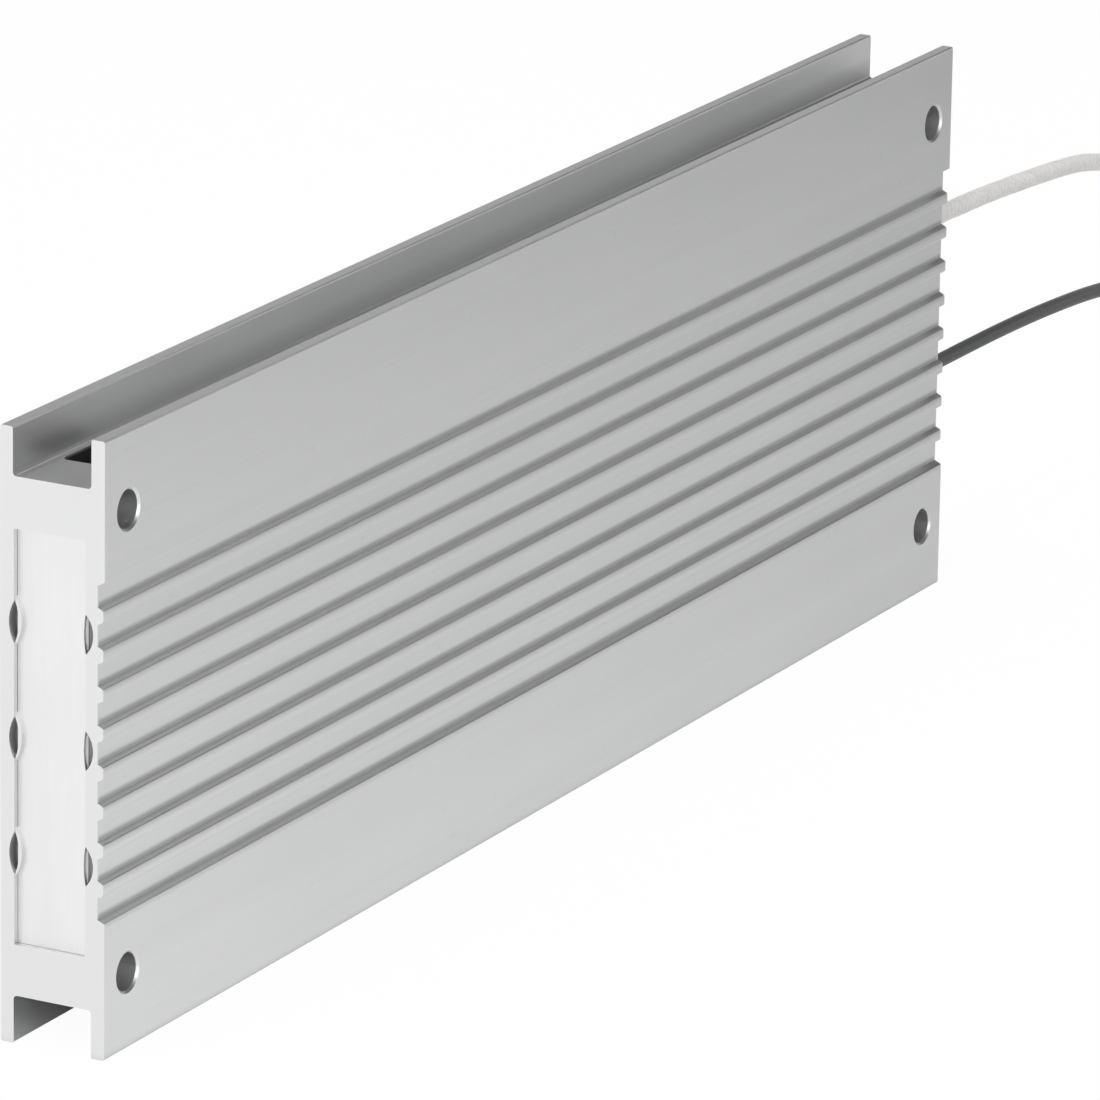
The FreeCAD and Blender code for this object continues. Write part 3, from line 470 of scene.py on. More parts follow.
grain, given, result = new_effect("grain", {"Grains per metre": 3000.0}, ("Shade", "Height"))
per_metre = given["Grains per metre"]
cells = add_node(grain, "ShaderNodeTexVoronoi", Vector=given["Place"], Scale=per_metre)
feed_all(
    grain, result, Shade=cloud(grain, given["Place"], per_metre, detail=2.0),
    Height=stretch_range(grain, cells.outputs["Distance"], 0, CELL_REACH, 1, 0),
)

patches, given, result = new_effect(
    "patches", {"Patches per metre": 45.0, "Specks per metre": 900.0}, ("Patch", "Speck")
)
dots = add_node(
    patches, "ShaderNodeTexNoise", Vector=given["Place"], Scale=given["Specks per metre"],
    Detail=1.0,
)
feed_all(
    patches, result, Speck=stretch_range(patches, dots.outputs["Fac"], *SPECK_SPAN),
    Patch=cloud(patches, given["Place"], given["Patches per metre"], detail=4.0),
)


# %% Helpers for finishes
def new_finish(name, roughness, metallic=0.0):
    """An empty finish: its material, tree, shader and the place on the object."""
    finish = bpy.data.materials.new(name)
    finish.use_nodes = True
    tree = finish.node_tree
    shader = tree.nodes["Principled BSDF"]
    shader.inputs["Roughness"].default_value = roughness
    shader.inputs["Metallic"].default_value = metallic
    print("finish", name)
    return finish, tree, shader, coordinate(tree, "Object")


def use_effect(tree, effect, place, **sizes):
    """Place an effect in a finish, with this finish's own sizes."""
    node = tree.nodes.new("ShaderNodeGroup")
    node.node_tree = effect
    return feed_all(tree, node, Place=place, **sizes).outputs


def blend_tones(tree, mask, dark, light):
    """One colour where the mask is 0, the other where it is 1."""
    node = tree.nodes.new("ShaderNodeMix")
    node.data_type = "RGBA"
    feed(tree, node.inputs[0], mask)
    for socket, tone in ((node.inputs[6], dark), (node.inputs[7], light)):
        feed(tree, socket, (*tone, 1) if isinstance(tone, tuple) else tone)
    return node.outputs[2]


def emboss(tree, height, depth, under=None):
    """A bump of a real depth in metres, over another one where there is any."""
    return add_node(
        tree, "ShaderNodeBump", Distance=depth, Height=height, Normal=under
    ).outputs["Normal"]


def grey(level, warmth=0.0):
    """A nearly neutral tone; warmth above 0 leans to yellow, below 0 to blue."""
    return (level * (1 + warmth), level, level * (1 - warmth))


# %% [markdown]
# The profile is bare aluminium, satin as it leaves the press, so it mirrors the room softly.
# Its long faces carry die lines; its two ends are sawn, which leaves shallow arcs about a
# far centre and a slightly brighter surface. The mask for the ends is the size of the
# normal's X part, and the arcs are a sine of the distance from the saw's axis. The upper
# channel is painted lighter, as painted light in the shaded channel. Painted shade darkens
# the foot of the rear wall there, more towards the leads, the lower corner of each groove
# and the shoulder under it, the stake marks, and the walls of the filling opening.

# %% Finish: extruded profile
PROFILE_DARK = grey(0.71, -0.004)
PROFILE_LIGHT = grey(0.75, -0.004)
CUT_TONE = grey(0.755, -0.002)
RUBBED_TONE = grey(0.82)
# Painted light: a lighter tone that lifts the shaded upper channel.
PAINTED_CHANNEL_LIGHT_TONE = grey(0.83, -0.004)
# Painted shade: a dark tone in the groove corners, on the shoulders and at the rear wall's
# foot.
PAINTED_SHADE_TONE = grey(0.44, -0.004)
# Painted shade: a dark tone in the stake mark pits.
PAINTED_MARK_SHADE_TONE = grey(0.36)
# Painted shade: a near-black tone on the walls of the filling opening.
PAINTED_OPENING_SHADE_TONE = grey(0.17)
END_FACING = (0.93, 0.99)
SAW_AXIS = (0, 0.13, -0.09)
SAW_PITCH = 0.0011
# Where painted light and painted shade go: metres from the object's middle, on its three axes
SOFT_EDGE = 1e-4
MARK_BOTTOM = (0.1155, 0.1157)
MARK_DEPTHS = (0.1162, 0.1173)
FRONT_MARKS = (-0.0061, -0.00475)
REAR_MARKS = (0.00555, 0.0063)
MARK_LEVELS = (0.0205, 0.0595)
OPENING = ((-0.1085, -0.0957), (-0.0040, 0.0048), (0.0600, 0.0734))
UPPER_CHANNEL = ((-0.1180, 0.1180), (-0.0057, 0.0057), (0.0735, 0.0797))
RIBBED_FIELD = ((-0.1172, 0.1172), (-0.0078, -0.0060), (0.0172, 0.0621))
GROOVE_LOW = 0.0184
GROOVE_PITCH = 0.00505
CORNER_FADE = (0.00028, 0.00085)
SHOULDER_RISE = (0.0039, 0.00455)
SHOULDER_FALL = (0.00455, 0.00475)
SHOULDER_SHARE = 0.55
WALL_FACE = (0.0050, 0.0054)
WALL_FOOT = (0.0738, 0.0770)
WALL_SPAN = (0.03, 0.115)
WALL_SHARES = (0.5, 0.9)


def sawn_ends(tree, place):
    """Mask of the cut ends and the height of the saw's arcs."""
    along = reckon(tree, "ABSOLUTE", split(tree, coordinate(tree, "Normal"))["X"])
    ends = stretch_range(tree, along, *END_FACING)
    flat = reckon_vector(tree, "MULTIPLY", place, (0, 1, 1))
    reach = reckon_vector(tree, "LENGTH", reckon_vector(tree, "SUBTRACT", flat, SAW_AXIS))
    turn = product(tree, reach, math.tau / SAW_PITCH)
    return ends, product(tree, reckon(tree, "SINE", turn), ends)


def within(tree, source, low, high):
    """1 where a number lies between two limits, with soft edges."""
    off = reckon(tree, "ABSOLUTE", reckon(tree, "SUBTRACT", source, (low + high) / 2))
    half = (high - low) / 2
    return stretch_range(tree, off, half - SOFT_EDGE, half + SOFT_EDGE, 1.0, 0.0)


def inside_box(tree, parts, box):
    """1 inside a box given as limits on the three axes."""
    return product(tree, *[
        within(tree, parts[axis], *limits) for axis, limits in zip("XYZ", box)
    ])


def painted_groove_shade(tree, parts):
    """Mask of painted shade in each groove's lower corner and on the shoulder under it."""
    above = reckon(tree, "SUBTRACT", parts["Z"], GROOVE_LOW)
    above = reckon(tree, "FLOORED_MODULO", above, GROOVE_PITCH)
    corner = stretch_range(tree, above, *CORNER_FADE, 1.0, 0.0)
    shoulder = reckon(
        tree, "MINIMUM",
        stretch_range(tree, above, *SHOULDER_RISE, 0.0, SHOULDER_SHARE),
        stretch_range(tree, above, *SHOULDER_FALL, 1.0, 0.0),
    )
    both = reckon(tree, "MAXIMUM", corner, shoulder)
    return product(tree, both, inside_box(tree, parts, RIBBED_FIELD))


def painted_wall_shade(tree, parts):
    """Mask of painted shade at the foot of the upper channel's rear wall, stronger towards the
    leads.
    """
    foot = stretch_range(tree, parts["Z"], *WALL_FOOT, 1.0, 0.0)
    wall = stretch_range(tree, parts["Y"], *WALL_FACE)
    share = stretch_range(tree, parts["X"], *WALL_SPAN, *WALL_SHARES)
    return product(tree, foot, wall, share, inside_box(tree, parts, UPPER_CHANNEL))


def painted_mark_shade(tree, parts):
    """Mask of painted shade in the stake marks, deepest at their bottom."""
    from_middle = reckon(tree, "ABSOLUTE", parts["X"])
    below_face = stretch_range(tree, from_middle, *MARK_DEPTHS, 1.0, 0.0)
    near_end = stretch_range(tree, from_middle, *MARK_BOTTOM)
    front, rear = [within(tree, parts["Y"], *walls) for walls in (FRONT_MARKS, REAR_MARKS)]
    in_walls = reckon(tree, "MAXIMUM", front, rear)
    at_level = within(tree, parts["Z"], *MARK_LEVELS)
    return product(tree, below_face, near_end, product(tree, in_walls, at_level))


profile_finish, tree, shader, place = new_finish("satin_extruded_aluminium", 0.42, 1.0)
lines = use_effect(tree, die_lines, place, Lines_per_metre=2400)
marks = use_effect(tree, patches, place, Patches_per_metre=38, Specks_per_metre=700)
rubbed = use_effect(tree, worn_edges, place, Radius=0.0004, Patches_per_metre=300)
tooth = use_effect(tree, grain, place, Grains_per_metre=5200)
ends, arcs = sawn_ends(tree, place)
parts = split(tree, place)
# Painted light over the shaded upper channel, varied by the die lines.
painted_channel_light = product(
    tree, inside_box(tree, parts, UPPER_CHANNEL), vary(tree, lines["Streak"], 0.7, 1.0)
)
# Painted shade in the grooves and at the foot of the upper channel's rear wall.
dust_and_painted_shade = reckon(tree, "MAXIMUM", painted_groove_shade(tree, parts), painted_wall_shade(tree, parts))
metal = blend_tones(tree, lines["Streak"], PROFILE_DARK, PROFILE_LIGHT)
for mask, tone in (
    # Painted light in the upper channel.
    (painted_channel_light, PAINTED_CHANNEL_LIGHT_TONE),
    # Painted shade in the grooves and at the wall's foot.
    (dust_and_painted_shade, PAINTED_SHADE_TONE),
    (ends, CUT_TONE),
    (rubbed["Edge"], RUBBED_TONE),
    # Painted shade in the stake marks.
    (painted_mark_shade(tree, parts), PAINTED_MARK_SHADE_TONE),
    # Painted shade on the walls of the filling opening.
    (inside_box(tree, parts, OPENING), PAINTED_OPENING_SHADE_TONE),
):
    metal = blend_tones(tree, mask, metal, tone)
gloss = vary(tree, marks["Patch"], 0.40, 0.48)
gloss = reckon(tree, "SUBTRACT", gloss, product(tree, rubbed["Edge"], 0.08))
gloss = reckon(tree, "ADD", gloss, product(tree, marks["Speck"], 0.12))
relief = emboss(tree, lines["Height"], depth=2e-6)
relief = emboss(tree, tooth["Height"], depth=1.2e-6, under=relief)
relief = emboss(tree, arcs, depth=1.2e-6, under=relief)
feed_all(tree, shader, Base_Color=metal, Roughness=gloss, Normal=relief)

# %% [markdown]
# The end plates are punched from rolled sheet. Rolling leaves finer, shorter lines than a
# die, and the press tool polishes the edge. The plate is slightly brighter than the profile.

# %% Finish: punched end plates
plate_finish, tree, shader, place = new_finish("punched_aluminium_sheet", 0.4, 1.0)
upright = add_node(tree, "ShaderNodeMapping", Vector=place, Rotation=(0, math.radians(90), 0))
rolled = use_effect(tree, die_lines, upright, Lines_per_metre=3600, Stretch=0.03)
marks = use_effect(tree, patches, place, Patches_per_metre=90, Specks_per_metre=1300)
rubbed = use_effect(tree, worn_edges, place, Radius=0.0003)
metal = blend_tones(tree, rolled["Streak"], grey(0.79), grey(0.83))
metal = blend_tones(tree, rubbed["Edge"], metal, grey(0.85))
relief = emboss(tree, rolled["Height"], depth=6e-7)
feed_all(
    tree, shader, Base_Color=metal, Roughness=vary(tree, marks["Patch"], 0.36, 0.46),
    Normal=emboss(tree, marks["Speck"], depth=4e-6, under=relief),
)

# %% [markdown]
# Inside, sheets of mica keep the live parts off the metal. Mica board is pressed from small
# flakes, so it shows overlapping cells, each a little lighter or darker and more or less
# shiny. The cards that carry the winding are the same board, browner and more matt.

# %% Finish: mica board
BOARD_ROUGHNESS = 0.62


def flaky_board(name, dark, light, flakes_per_metre, shine):
    """Pressed flakes: each cell has its own tone and its own gloss."""
    finish, tree, shader, place = new_finish(name, 0.5)
    flakes = add_node(
        tree, "ShaderNodeTexVoronoi", Vector=place, Scale=flakes_per_metre, Randomness=1.0
    )
    each = split(tree, flakes.outputs["Color"])
    dust_and_painted_shade = use_effect(tree, grain, place, Grains_per_metre=flakes_per_metre * 6)
    tone = weigh(tree, each["X"], dust_and_painted_shade["Shade"], share=0.7)
    relief = emboss(tree, each["Z"], depth=1.2e-5)
    feed_all(
        tree, shader, Base_Color=blend_tones(tree, tone, dark, light),
        Roughness=vary(tree, each["Y"], BOARD_ROUGHNESS - shine, BOARD_ROUGHNESS),
        Normal=emboss(tree, dust_and_painted_shade["Height"], depth=4e-6, under=relief),
    )
    return finish


mica_finish = flaky_board("pressed_mica", (0.60, 0.52, 0.39), (0.76, 0.69, 0.56), 520, 0.28)
card_finish = flaky_board("winding_card", (0.52, 0.46, 0.35), (0.70, 0.64, 0.52), 760, 0.12)

# %% [markdown]
# The winding is a drawn ribbon of resistance alloy. It runs hot, so its skin is slightly
# oxidised, greyer in some stretches and browner in others. The straps and rivets are plated
# steel, cleaner and paler, with the fine lines of rolling.

# %% Finish: ribbon, straps and rivets
OXIDE_TONE = (0.40, 0.33, 0.26)


def drawn_metal(name, dark, light, lines_per_metre, roughness, tint_share):
    """Drawn or rolled metal whose skin has oxidised in places."""
    finish, tree, shader, place = new_finish(name, roughness, 1.0)
    lines = use_effect(tree, die_lines, place, Lines_per_metre=lines_per_metre, Stretch=0.02)
    skin = use_effect(tree, patches, place, Patches_per_metre=160, Specks_per_metre=2500)
    rubbed = use_effect(tree, worn_edges, place, Radius=0.00015)
    metal = blend_tones(tree, lines["Streak"], dark, light)
    metal = blend_tones(tree, product(tree, skin["Patch"], tint_share), metal, OXIDE_TONE)
    feed_all(
        tree, shader, Base_Color=blend_tones(tree, rubbed["Edge"], metal, grey(0.78)),
        Roughness=vary(tree, skin["Patch"], roughness - 0.05, roughness + 0.1),
        Normal=emboss(tree, lines["Height"], depth=1.5e-6),
    )
    return finish


ribbon_finish = drawn_metal("resistance_ribbon", grey(0.40), grey(0.50, 0.02), 5200, 0.36, 0.5)
strap_finish = drawn_metal("plated_strap", grey(0.60), grey(0.72, 0.01), 4200, 0.3, 0.08)
rivet_finish = drawn_metal("plated_rivet", grey(0.55), grey(0.66), 3800, 0.34, 0.12)

# %% [markdown]
# The chamber is filled with quartz sand and closed with dark cement. Both are loose grains
# held together, so cells of two sizes give their height, and each kind has its own tones.
# The ceramic bushings are pressed and fired: smooth, off-white, with a very fine tooth.

# %% Finish: sand, cement and ceramic
FINE_TO_COARSE = 3.1


def packed_grains(name, dark, light, grains_per_metre, depth, roughness):
    """Matt grains of two sizes."""
    finish, tree, shader, place = new_finish(name, roughness)
    coarse, fine = [
        use_effect(tree, grain, place, Grains_per_metre=number)
        for number in (grains_per_metre, grains_per_metre * FINE_TO_COARSE)
    ]
    mix = weigh(tree, coarse["Shade"], fine["Shade"], share=0.6)
    relief = emboss(tree, coarse["Height"], depth)
    feed_all(
        tree, shader, Base_Color=blend_tones(tree, mix, dark, light),
        Roughness=vary(tree, fine["Shade"], roughness - 0.1, roughness + 0.05),
        Normal=emboss(tree, fine["Height"], depth / 3, relief),
    )
    return finish


sand_finish = packed_grains(
    "quartz_sand", (0.66, 0.60, 0.49), (0.85, 0.81, 0.71), 2200, 1.5e-4, 0.8
)
plug_finish = packed_grains(
    "dark_cement", grey(0.05, 0.06), grey(0.13, 0.05), 1900, 2e-4, 0.88
)
bushing_finish = packed_grains(
    "fired_ceramic", grey(0.82, 0.02), grey(0.90, 0.02), 5200, 6e-6, 0.45
)

# %% [markdown]
# The insulation of a lead is extruded rubber: satin, with faint lines along the cord, and it
# picks up a little dust. The lines must follow the bends, so they read the curve's own UV
# map, whose U runs along the cord and V around it.

# %% Finish: lead insulation
ROUND_THE_CORD = (1, 0.006, 0.006)


def extruded_rubber(name, dark, light, dust_tone, roughness):
    """Satin rubber with lines along the cord and a little dust."""
    finish, tree, shader, place = new_finish(name, roughness)
    sides = reckon_vector(tree, "MULTIPLY", coordinate(tree, "UV"), ROUND_THE_CORD)
    lines = use_effect(tree, die_lines, sides, Lines_per_metre=60, Stretch=0.1)
    handled = use_effect(tree, patches, place, Patches_per_metre=120, Specks_per_metre=2200)
    tooth = use_effect(tree, grain, place, Grains_per_metre=6000)
    tone = weigh(tree, lines["Streak"], handled["Patch"], share=0.4)
    rubber = blend_tones(tree, tone, dark, light)
    dust_and_painted_shade = product(tree, handled["Speck"], 0.5)
    feed_all(
        tree, shader, Base_Color=blend_tones(tree, dust_and_painted_shade, rubber, dust_tone),
        Roughness=vary(tree, handled["Patch"], roughness - 0.06, roughness + 0.08),
        Normal=emboss(tree, tooth["Height"], depth=3e-6),
    )
    return finish


white_rubber = extruded_rubber(
    "white_insulation", grey(0.82, 0.01), grey(0.89, 0.008), grey(0.62, 0.05), 0.45
)
dark_rubber = extruded_rubber(
    "dark_insulation", grey(0.062, -0.03), grey(0.10, -0.02), grey(0.34, 0.05), 0.42
)
white_lead.data.materials.append(white_rubber)
dark_lead.data.materials.append(dark_rubber)

# %% [markdown]
# Two finishes are for pieces that the next cells make. The sleeve is braided from glass yarn,
# white and faintly shiny, and each thread is a bundle of hairs, so it gets very fine lines.
# The strands of the leads are tinned copper: pale, with a warm tinge where the tin is thin.

# %% Finish: glass yarn and tinned strands
SOIL_TONE = grey(0.66, 0.03)
COPPER_TONE = (0.74, 0.56, 0.42)

yarn_finish, tree, shader, place = new_finish("glass_yarn", 0.55)
hairs = use_effect(tree, die_lines, place, Lines_per_metre=14000, Stretch=0.12)
soil = use_effect(tree, patches, place, Patches_per_metre=260, Specks_per_metre=3000)
yarn = blend_tones(tree, hairs["Streak"], grey(0.90, 0.012), grey(0.96, 0.008))
soil_share = product(tree, soil["Patch"], 0.10)
feed_all(
    tree, shader, Base_Color=blend_tones(tree, soil_share, yarn, SOIL_TONE),
    Roughness=vary(tree, hairs["Streak"], 0.62, 0.46),
    Normal=emboss(tree, hairs["Height"], depth=1e-5),
)

tin_finish, tree, shader, place = new_finish("tinned_copper", 0.3, 1.0)
tin = use_effect(tree, patches, place, Patches_per_metre=700, Specks_per_metre=5000)
wear = use_effect(tree, grain, place, Grains_per_metre=9000)
strand = blend_tones(tree, wear["Shade"], grey(0.66), grey(0.80))
copper_share = product(tree, tin["Patch"], 0.3)
feed_all(
    tree, shader, Base_Color=blend_tones(tree, copper_share, strand, COPPER_TONE),
    Roughness=vary(tree, tin["Patch"], 0.24, 0.4),
    Normal=emboss(tree, wear["Height"], depth=2e-6),
)

# %% [markdown]
# The next pieces repeat a shape along a path, so Geometry Nodes make them. A tree is built
# here by script, with named inputs for its sizes. It runs on a helper object, the result is
# turned into a plain mesh, and the helper goes away with its modifier. Pieces on a lead need
# the lead's own line: a copy of the curve without thickness gives its points. Two helpers are
# for what the sleeve and the stripped ends share: straight lines laid on points, which the
# tree then bends, and a round section that makes threads of them.

# %% Helpers for Geometry Nodes
def new_tree(name, sizes):
    """A geometry tree with named sizes and a material."""
    tree = bpy.data.node_groups.new(name, "GeometryNodeTree")
    tree.interface.new_socket("Geometry", in_out="INPUT", socket_type="NodeSocketGeometry")
    tree.interface.new_socket("Geometry", in_out="OUTPUT", socket_type="NodeSocketGeometry")
    tree.interface.new_socket("Finish", in_out="INPUT", socket_type="NodeSocketMaterial")
    for label, amount in sizes.items():
        kind = "NodeSocketInt" if isinstance(amount, int) else "NodeSocketFloat"
        socket = tree.interface.new_socket(label, in_out="INPUT", socket_type=kind)
        socket.default_value = amount
    print("tree", name, sizes)
    return tree, tree.nodes.new("NodeGroupInput").outputs


def end_tree(tree, given, geometry):
    """Close a tree: real meshes only, each with its finish."""
    real = add_node(tree, "GeometryNodeRealizeInstances", geometry)
    smooth = add_node(tree, "GeometryNodeSetShadeSmooth", real)
    dressed = add_node(
        tree, "GeometryNodeSetMaterial", Geometry=smooth, Material=given["Finish"]
    )
    add_node(tree, "NodeGroupOutput", dressed)


def lay_lines(tree, points, end, steps):
    """A straight line, cut into steps, on each of some points."""
    line = add_node(tree, "GeometryNodeCurvePrimitiveLine", End=end)
    cut = add_node(tree, "GeometryNodeResampleCurve", Curve=line, Count=steps)
    laid = add_node(tree, "GeometryNodeInstanceOnPoints", Points=points, Instance=cut)
    return add_node(tree, "GeometryNodeRealizeInstances", laid)


def end_as_threads(tree, given, lines, sides, radius):
    """Give lines a round section with closed ends, and close the tree."""
    section = add_node(
        tree, "GeometryNodeCurvePrimitiveCircle", Resolution=sides, Radius=radius
    )
    threads = add_node(
        tree, "GeometryNodeCurveToMesh", Curve=lines, Profile_Curve=section, Fill_Caps=True
    )
    end_tree(tree, given, threads)


def plain_mesh(helper):
    """A helper object's finished shape as a mesh; the helper goes away."""
    ready = helper.evaluated_get(bpy.context.evaluated_depsgraph_get())
    mesh = bpy.data.meshes.new_from_object(ready)
    bpy.data.objects.remove(helper)
    return mesh


def grow(name, start_mesh, tree, finish, sizes):
    """Run a tree on a mesh and keep the result as a plain piece."""
    helper = put_in_scene(name + "_helper", start_mesh)
    step = helper.modifiers.new("grow", "NODES")
    step.node_group = tree
    values = {"Finish": finish, **sizes}
    for socket in tree.interface.items_tree:
        if socket.in_out == "INPUT" and socket.name in values:
            step[socket.identifier] = values[socket.name]
    mesh = plain_mesh(helper)
    mesh.name = name
    print(name, sum(len(face.vertices) - 2 for face in mesh.polygons), "triangles")
    return put_in_scene(name, mesh)


def line_of(cord):
    """Points along a cord's spline."""
    thin = cord.data.copy()
    thin.bevel_depth = 0
    mesh = plain_mesh(put_in_scene("line_helper", thin))
    points = [vertex.co.copy() for vertex in mesh.vertices]
    bpy.data.meshes.remove(mesh)
    return points


def path_mesh(name, points):
    """A bare line through points, for a tree to follow."""
    mesh = bpy.data.meshes.new(name)
    mesh.from_pydata(points, [(k, k + 1) for k in range(len(points) - 1)], [])
    return mesh


white_line = line_of(white_lead)
dark_line = line_of(dark_lead)
for label, points in (("white", white_line), ("dark", dark_line)):
    length = sum((b - a).length for a, b in zip(points, points[1:]))
    tip = [round(c / MM, 2) for c in points[-1]]
    print(label, "line", round(length / MM, 1), "mm, ends at", tip)

# %% [markdown]
# From the plate on, the white lead wears a close braided sleeve, a little crumpled where it
# comes out. In a braid one set of yarns winds to the left and one to the right, and each goes
# over and under the other set. On a tube of n yarns a way, that wave is one cosine: its phase
# is n times the angle that the yarn has turned. Every yarn is some threads side by side. The
# tree starts with a straight line for each thread, and the place of a point on it says which
# thread it is and how far along: X is the share of the length, Y the start angle, Z the way
# of winding. Two directions square to the lead then carry the threads round its bend.

# %% Tree: braided sleeve
SLEEVE_SIZES = {
    "Yarns": 8, "Threads": 4, "Thread angle": 0.17, "Turns": 7.5, "Radius": 0.00117,
    "Wave": 0.00006, "Thread radius": 0.000085, "Steps": 240, "Crumple": 0.14,
}
THREAD_SIDES = 5
CRUMPLES_PER_METRE = 330.0
CRUMPLE_NOISE = (0.35, 0.65)
CRUMPLED_UP_TO = 0.4
CRUMPLE_LEFT = 0.15

braid, given = new_tree("braided_sleeve", SLEEVE_SIZES)
sleeve_axis = add_node(braid, "GeometryNodeMeshToCurve", given["Geometry"])
number = braid.nodes.new("GeometryNodeInputIndex")
pair = reckon(braid, "FLOOR", reckon(braid, "DIVIDE", number, 2.0))
odd = reckon(braid, "MODULO", number, 2.0)
way = reckon(braid, "SUBTRACT", product(braid, odd, 2.0), 1.0)
yarn_number = reckon(braid, "FLOOR", reckon(braid, "DIVIDE", pair, given["Threads"]))
thread_number = reckon(braid, "MODULO", pair, given["Threads"])
yarn_angle = reckon(braid, "DIVIDE", math.tau, given["Yarns"])
first_angle = reckon(
    braid, "ADD", product(braid, yarn_number, yarn_angle),
    product(braid, thread_number, given["Thread angle"]),
)
starts = add_node(
    braid, "GeometryNodePoints", Count=product(braid, given["Yarns"], given["Threads"], 2.0),
    Position=add_node(braid, "ShaderNodeCombineXYZ", Y=first_angle, Z=way),
)
straight_threads = lay_lines(braid, starts, end=(1, 0, 0), steps=given["Steps"])

here = split(braid, braid.nodes.new("GeometryNodeInputPosition"))
turned_by = product(braid, here["X"], given["Turns"], math.tau)
angle = reckon(braid, "ADD", product(braid, turned_by, here["Z"]), here["Y"])
wave = reckon(braid, "COSINE", product(braid, turned_by, given["Yarns"]))
wave = product(braid, wave, here["Z"], given["Wave"])
axis_point = braid.nodes.new("GeometryNodeSampleCurve")
axis_point.mode = "FACTOR"
feed_all(braid, axis_point, Curves=sleeve_axis, Factor=here["X"])
axis_place = axis_point.outputs["Position"]
ahead = axis_point.outputs["Tangent"]
crumple = add_node(
    braid, "ShaderNodeTexNoise", Vector=axis_place, Scale=CRUMPLES_PER_METRE
)
fade = stretch_range(braid, here["X"], 0.0, CRUMPLED_UP_TO, 1.0, CRUMPLE_LEFT)
swell = reckon(braid, "ADD", product(braid, given["Crumple"], fade), 1.0)
loose = stretch_range(braid, crumple.outputs["Fac"], *CRUMPLE_NOISE, 1.0, swell)
reach = product(braid, reckon(braid, "ADD", given["Radius"], wave), loose)
sideways = reckon_vector(
    braid, "NORMALIZE", reckon_vector(braid, "CROSS_PRODUCT", ahead, (0, 0, 1))
)
upwards = reckon_vector(braid, "CROSS_PRODUCT", sideways, ahead)
offset = reckon_vector(braid, "ADD", *[
    reckon_vector(
        braid, "SCALE", heading, scale=product(braid, reach, reckon(braid, turn_part, angle))
    )
    for heading, turn_part in ((sideways, "COSINE"), (upwards, "SINE"))
])
wound = add_node(
    braid, "GeometryNodeSetPosition", Geometry=straight_threads,
    Position=reckon_vector(braid, "ADD", axis_place, offset),
)
end_as_threads(braid, given, wound, THREAD_SIDES, given["Thread radius"])


# %% Braid the sleeve on the white lead
def point_at(line, level):
    """The line's point at a given X."""
    for a, b in zip(line, line[1:]):
        if a.x <= level <= b.x:
            return a.lerp(b, (level - a.x) / (b.x - a.x))


sleeve_low, sleeve_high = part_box("sleeve_white")
sleeve_path = [point_at(white_line, sleeve_low.x)]
sleeve_path += [point for point in white_line if sleeve_low.x < point.x < sleeve_high.x]
sleeve_path += [point_at(white_line, sleeve_high.x)]
sleeve = grow(
    "sleeve_white_braid", path_mesh("sleeve_path", sleeve_path), braid, yarn_finish,
    SLEEVE_SIZES,
)
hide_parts("sleeve_white")
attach(sleeve, "root")

# %% [markdown]
# The last millimetres of each lead are stripped, and the bare strands show. A stranded
# conductor is built in rings: one strand in the middle, six around it and twelve outside, all
# twisted the same way. The tree puts a straight strand on each point of those rings, then
# turns every cross-section by an angle that grows along the length.

# %% Tree: stripped strands
STRAND_SIZES = {"Length": 0.008, "Strand radius": 0.000116, "Turns": 0.7, "Spread": 0.05}
RINGS = ((6, 1.0), (12, 2.0))
STRAND_STEPS = 22
STRAND_SIDES = 8

strands, given = new_tree("stripped_strands", STRAND_SIZES)
strand_gap = product(strands, given["Strand radius"], 2.0)
rings = strands.nodes.new("GeometryNodeJoinGeometry")
feed(strands, rings.inputs[0], strands.nodes.new("GeometryNodePoints"))
for strand_count, ring_number in RINGS:
    ring = add_node(
        strands, "GeometryNodeMeshCircle", Vertices=strand_count,
        Radius=product(strands, strand_gap, ring_number),
    )
    feed(strands, rings.inputs[0], add_node(strands, "GeometryNodeMeshToPoints", Mesh=ring))
upright = add_node(
    strands, "GeometryNodeTransform", Geometry=rings, Rotation=(0, math.radians(90), 0)
)
tip = add_node(strands, "ShaderNodeCombineXYZ", X=given["Length"])
bundle = lay_lines(strands, upright, end=tip, steps=STRAND_STEPS)
spot = strands.nodes.new("GeometryNodeInputPosition")
share_done = reckon(strands, "DIVIDE", split(strands, spot)["X"], given["Length"])
twisted = strands.nodes.new("ShaderNodeVectorRotate")
twisted.rotation_type = "X_AXIS"
feed_all(
    strands, twisted, Vector=spot, Angle=product(strands, share_done, given["Turns"], math.tau)
)
opening = product(strands, reckon(strands, "POWER", share_done, 3.0), given["Spread"])
opening = reckon(strands, "ADD", opening, 1.0)
widen = add_node(strands, "ShaderNodeCombineXYZ", 1.0, opening, opening)
laid = add_node(
    strands, "GeometryNodeSetPosition", Geometry=bundle,
    Position=reckon_vector(strands, "MULTIPLY", twisted, widen),
)
end_as_threads(strands, given, laid, STRAND_SIDES, given["Strand radius"])

# %% Strip both lead ends
for name, line in (("conductor_end_white", white_line), ("conductor_end_dark", dark_line)):
    end_low, end_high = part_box(name)
    piece = grow(
        name + "_strands", path_mesh(name + "_start", [Vector()]), strands, tin_finish,
        {**STRAND_SIZES, "Length": end_high.x - end_low.x},
    )
    heading = line[-1] - line[-2]
    turn = heading.to_track_quat("X", "Z").to_matrix().to_4x4()
    piece.data.transform(Matrix.Translation(line[-1]) @ turn)
    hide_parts(name)
    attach(piece, "root")

# %% [markdown]
# The filling opening in the upper channel shows the cement that closes it. The solid gives
# the cement a plain face, so loose grains are strewn over that face: points are scattered by
# a fixed seed and each gets a small stone of its own size and turn, half sunk.

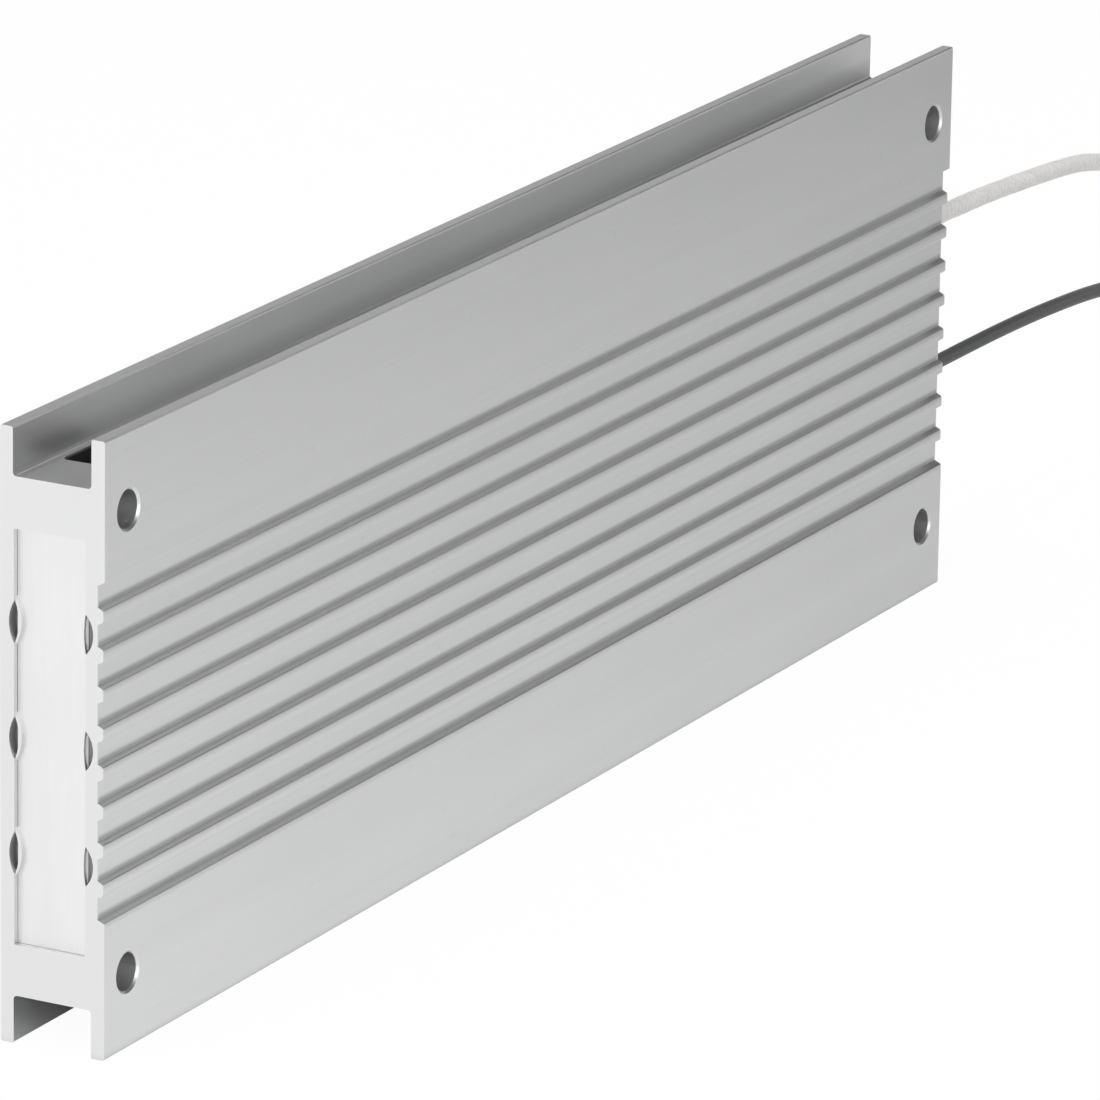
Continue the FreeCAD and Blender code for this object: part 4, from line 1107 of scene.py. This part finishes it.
# %% Tree: strewn grains
GRAIN_RADIUS = 0.0003
GRAIN_SIZES = {"Per square metre": 6000000.0, "Grain": GRAIN_RADIUS}
SMALLEST = (0.5, 0.5, 0.4)
LARGEST = (1.3, 1.2, 0.9)


def random_vector(tree, low, high, seed):
    """A vector of its own for each point, the same in each run."""
    node = tree.nodes.new("FunctionNodeRandomValue")
    node.data_type = "FLOAT_VECTOR"
    return feed_all(tree, node, low, high, Seed=seed)


strewn, given = new_tree("strewn_grains", GRAIN_SIZES)
scatter = add_node(
    strewn, "GeometryNodeDistributePointsOnFaces", Mesh=given["Geometry"],
    Density=given["Per square metre"], Seed=7,
)
stones = add_node(
    strewn, "GeometryNodeInstanceOnPoints", Points=scatter,
    Instance=add_node(
        strewn, "GeometryNodeMeshIcoSphere", Radius=given["Grain"], Subdivisions=1
    ),
    Scale=random_vector(strewn, SMALLEST, LARGEST, seed=3),
    Rotation=random_vector(strewn, (0, 0, 0), (math.tau, math.tau, math.tau), seed=4),
)
end_tree(strewn, given, stones)

# %% Strew the cement's face
plug_low, plug_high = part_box("fill_plug")
print("plug", [round(c / MM, 1) for c in (*plug_low, *plug_high)])
margin = GRAIN_RADIUS * 1.4
plug_face = flat_face(
    "plug_face", plug_low.x + margin, plug_low.y + margin,
    plug_high.x - margin, plug_high.y - margin, plug_high.z,
)
grains = grow("cement_grains", plug_face, strewn, plug_finish, GRAIN_SIZES)
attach(grains, "root")

# %% [markdown]
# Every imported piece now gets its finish. The record says which finish each node takes, so a
# short table from the record's slots to the finishes above is enough.

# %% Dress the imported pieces
FINISHES = {
    "profile": profile_finish,
    "plate": plate_finish,
    "mica": mica_finish,
    "card": card_finish,
    "ribbon": ribbon_finish,
    "strap": strap_finish,
    "rivet": rivet_finish,
    "sand": sand_finish,
    "plug": plug_finish,
    "bushing": bushing_finish,
    "sleeve": yarn_finish,
    "white_insulation": white_rubber,
    "dark_insulation": dark_rubber,
    "conductor": tin_finish,
}
for entry in frame["record"]["subparts"]:
    thing = nodes_of_part[entry["node"]]
    thing.data.materials.clear()
    thing.data.materials.append(FINISHES[entry["material_slot"]])

# %% [markdown]
# The pieces on a lead, its stripped end and its sleeve, are named with it.

# %% Update the scene
bpy.context.view_layer.update()
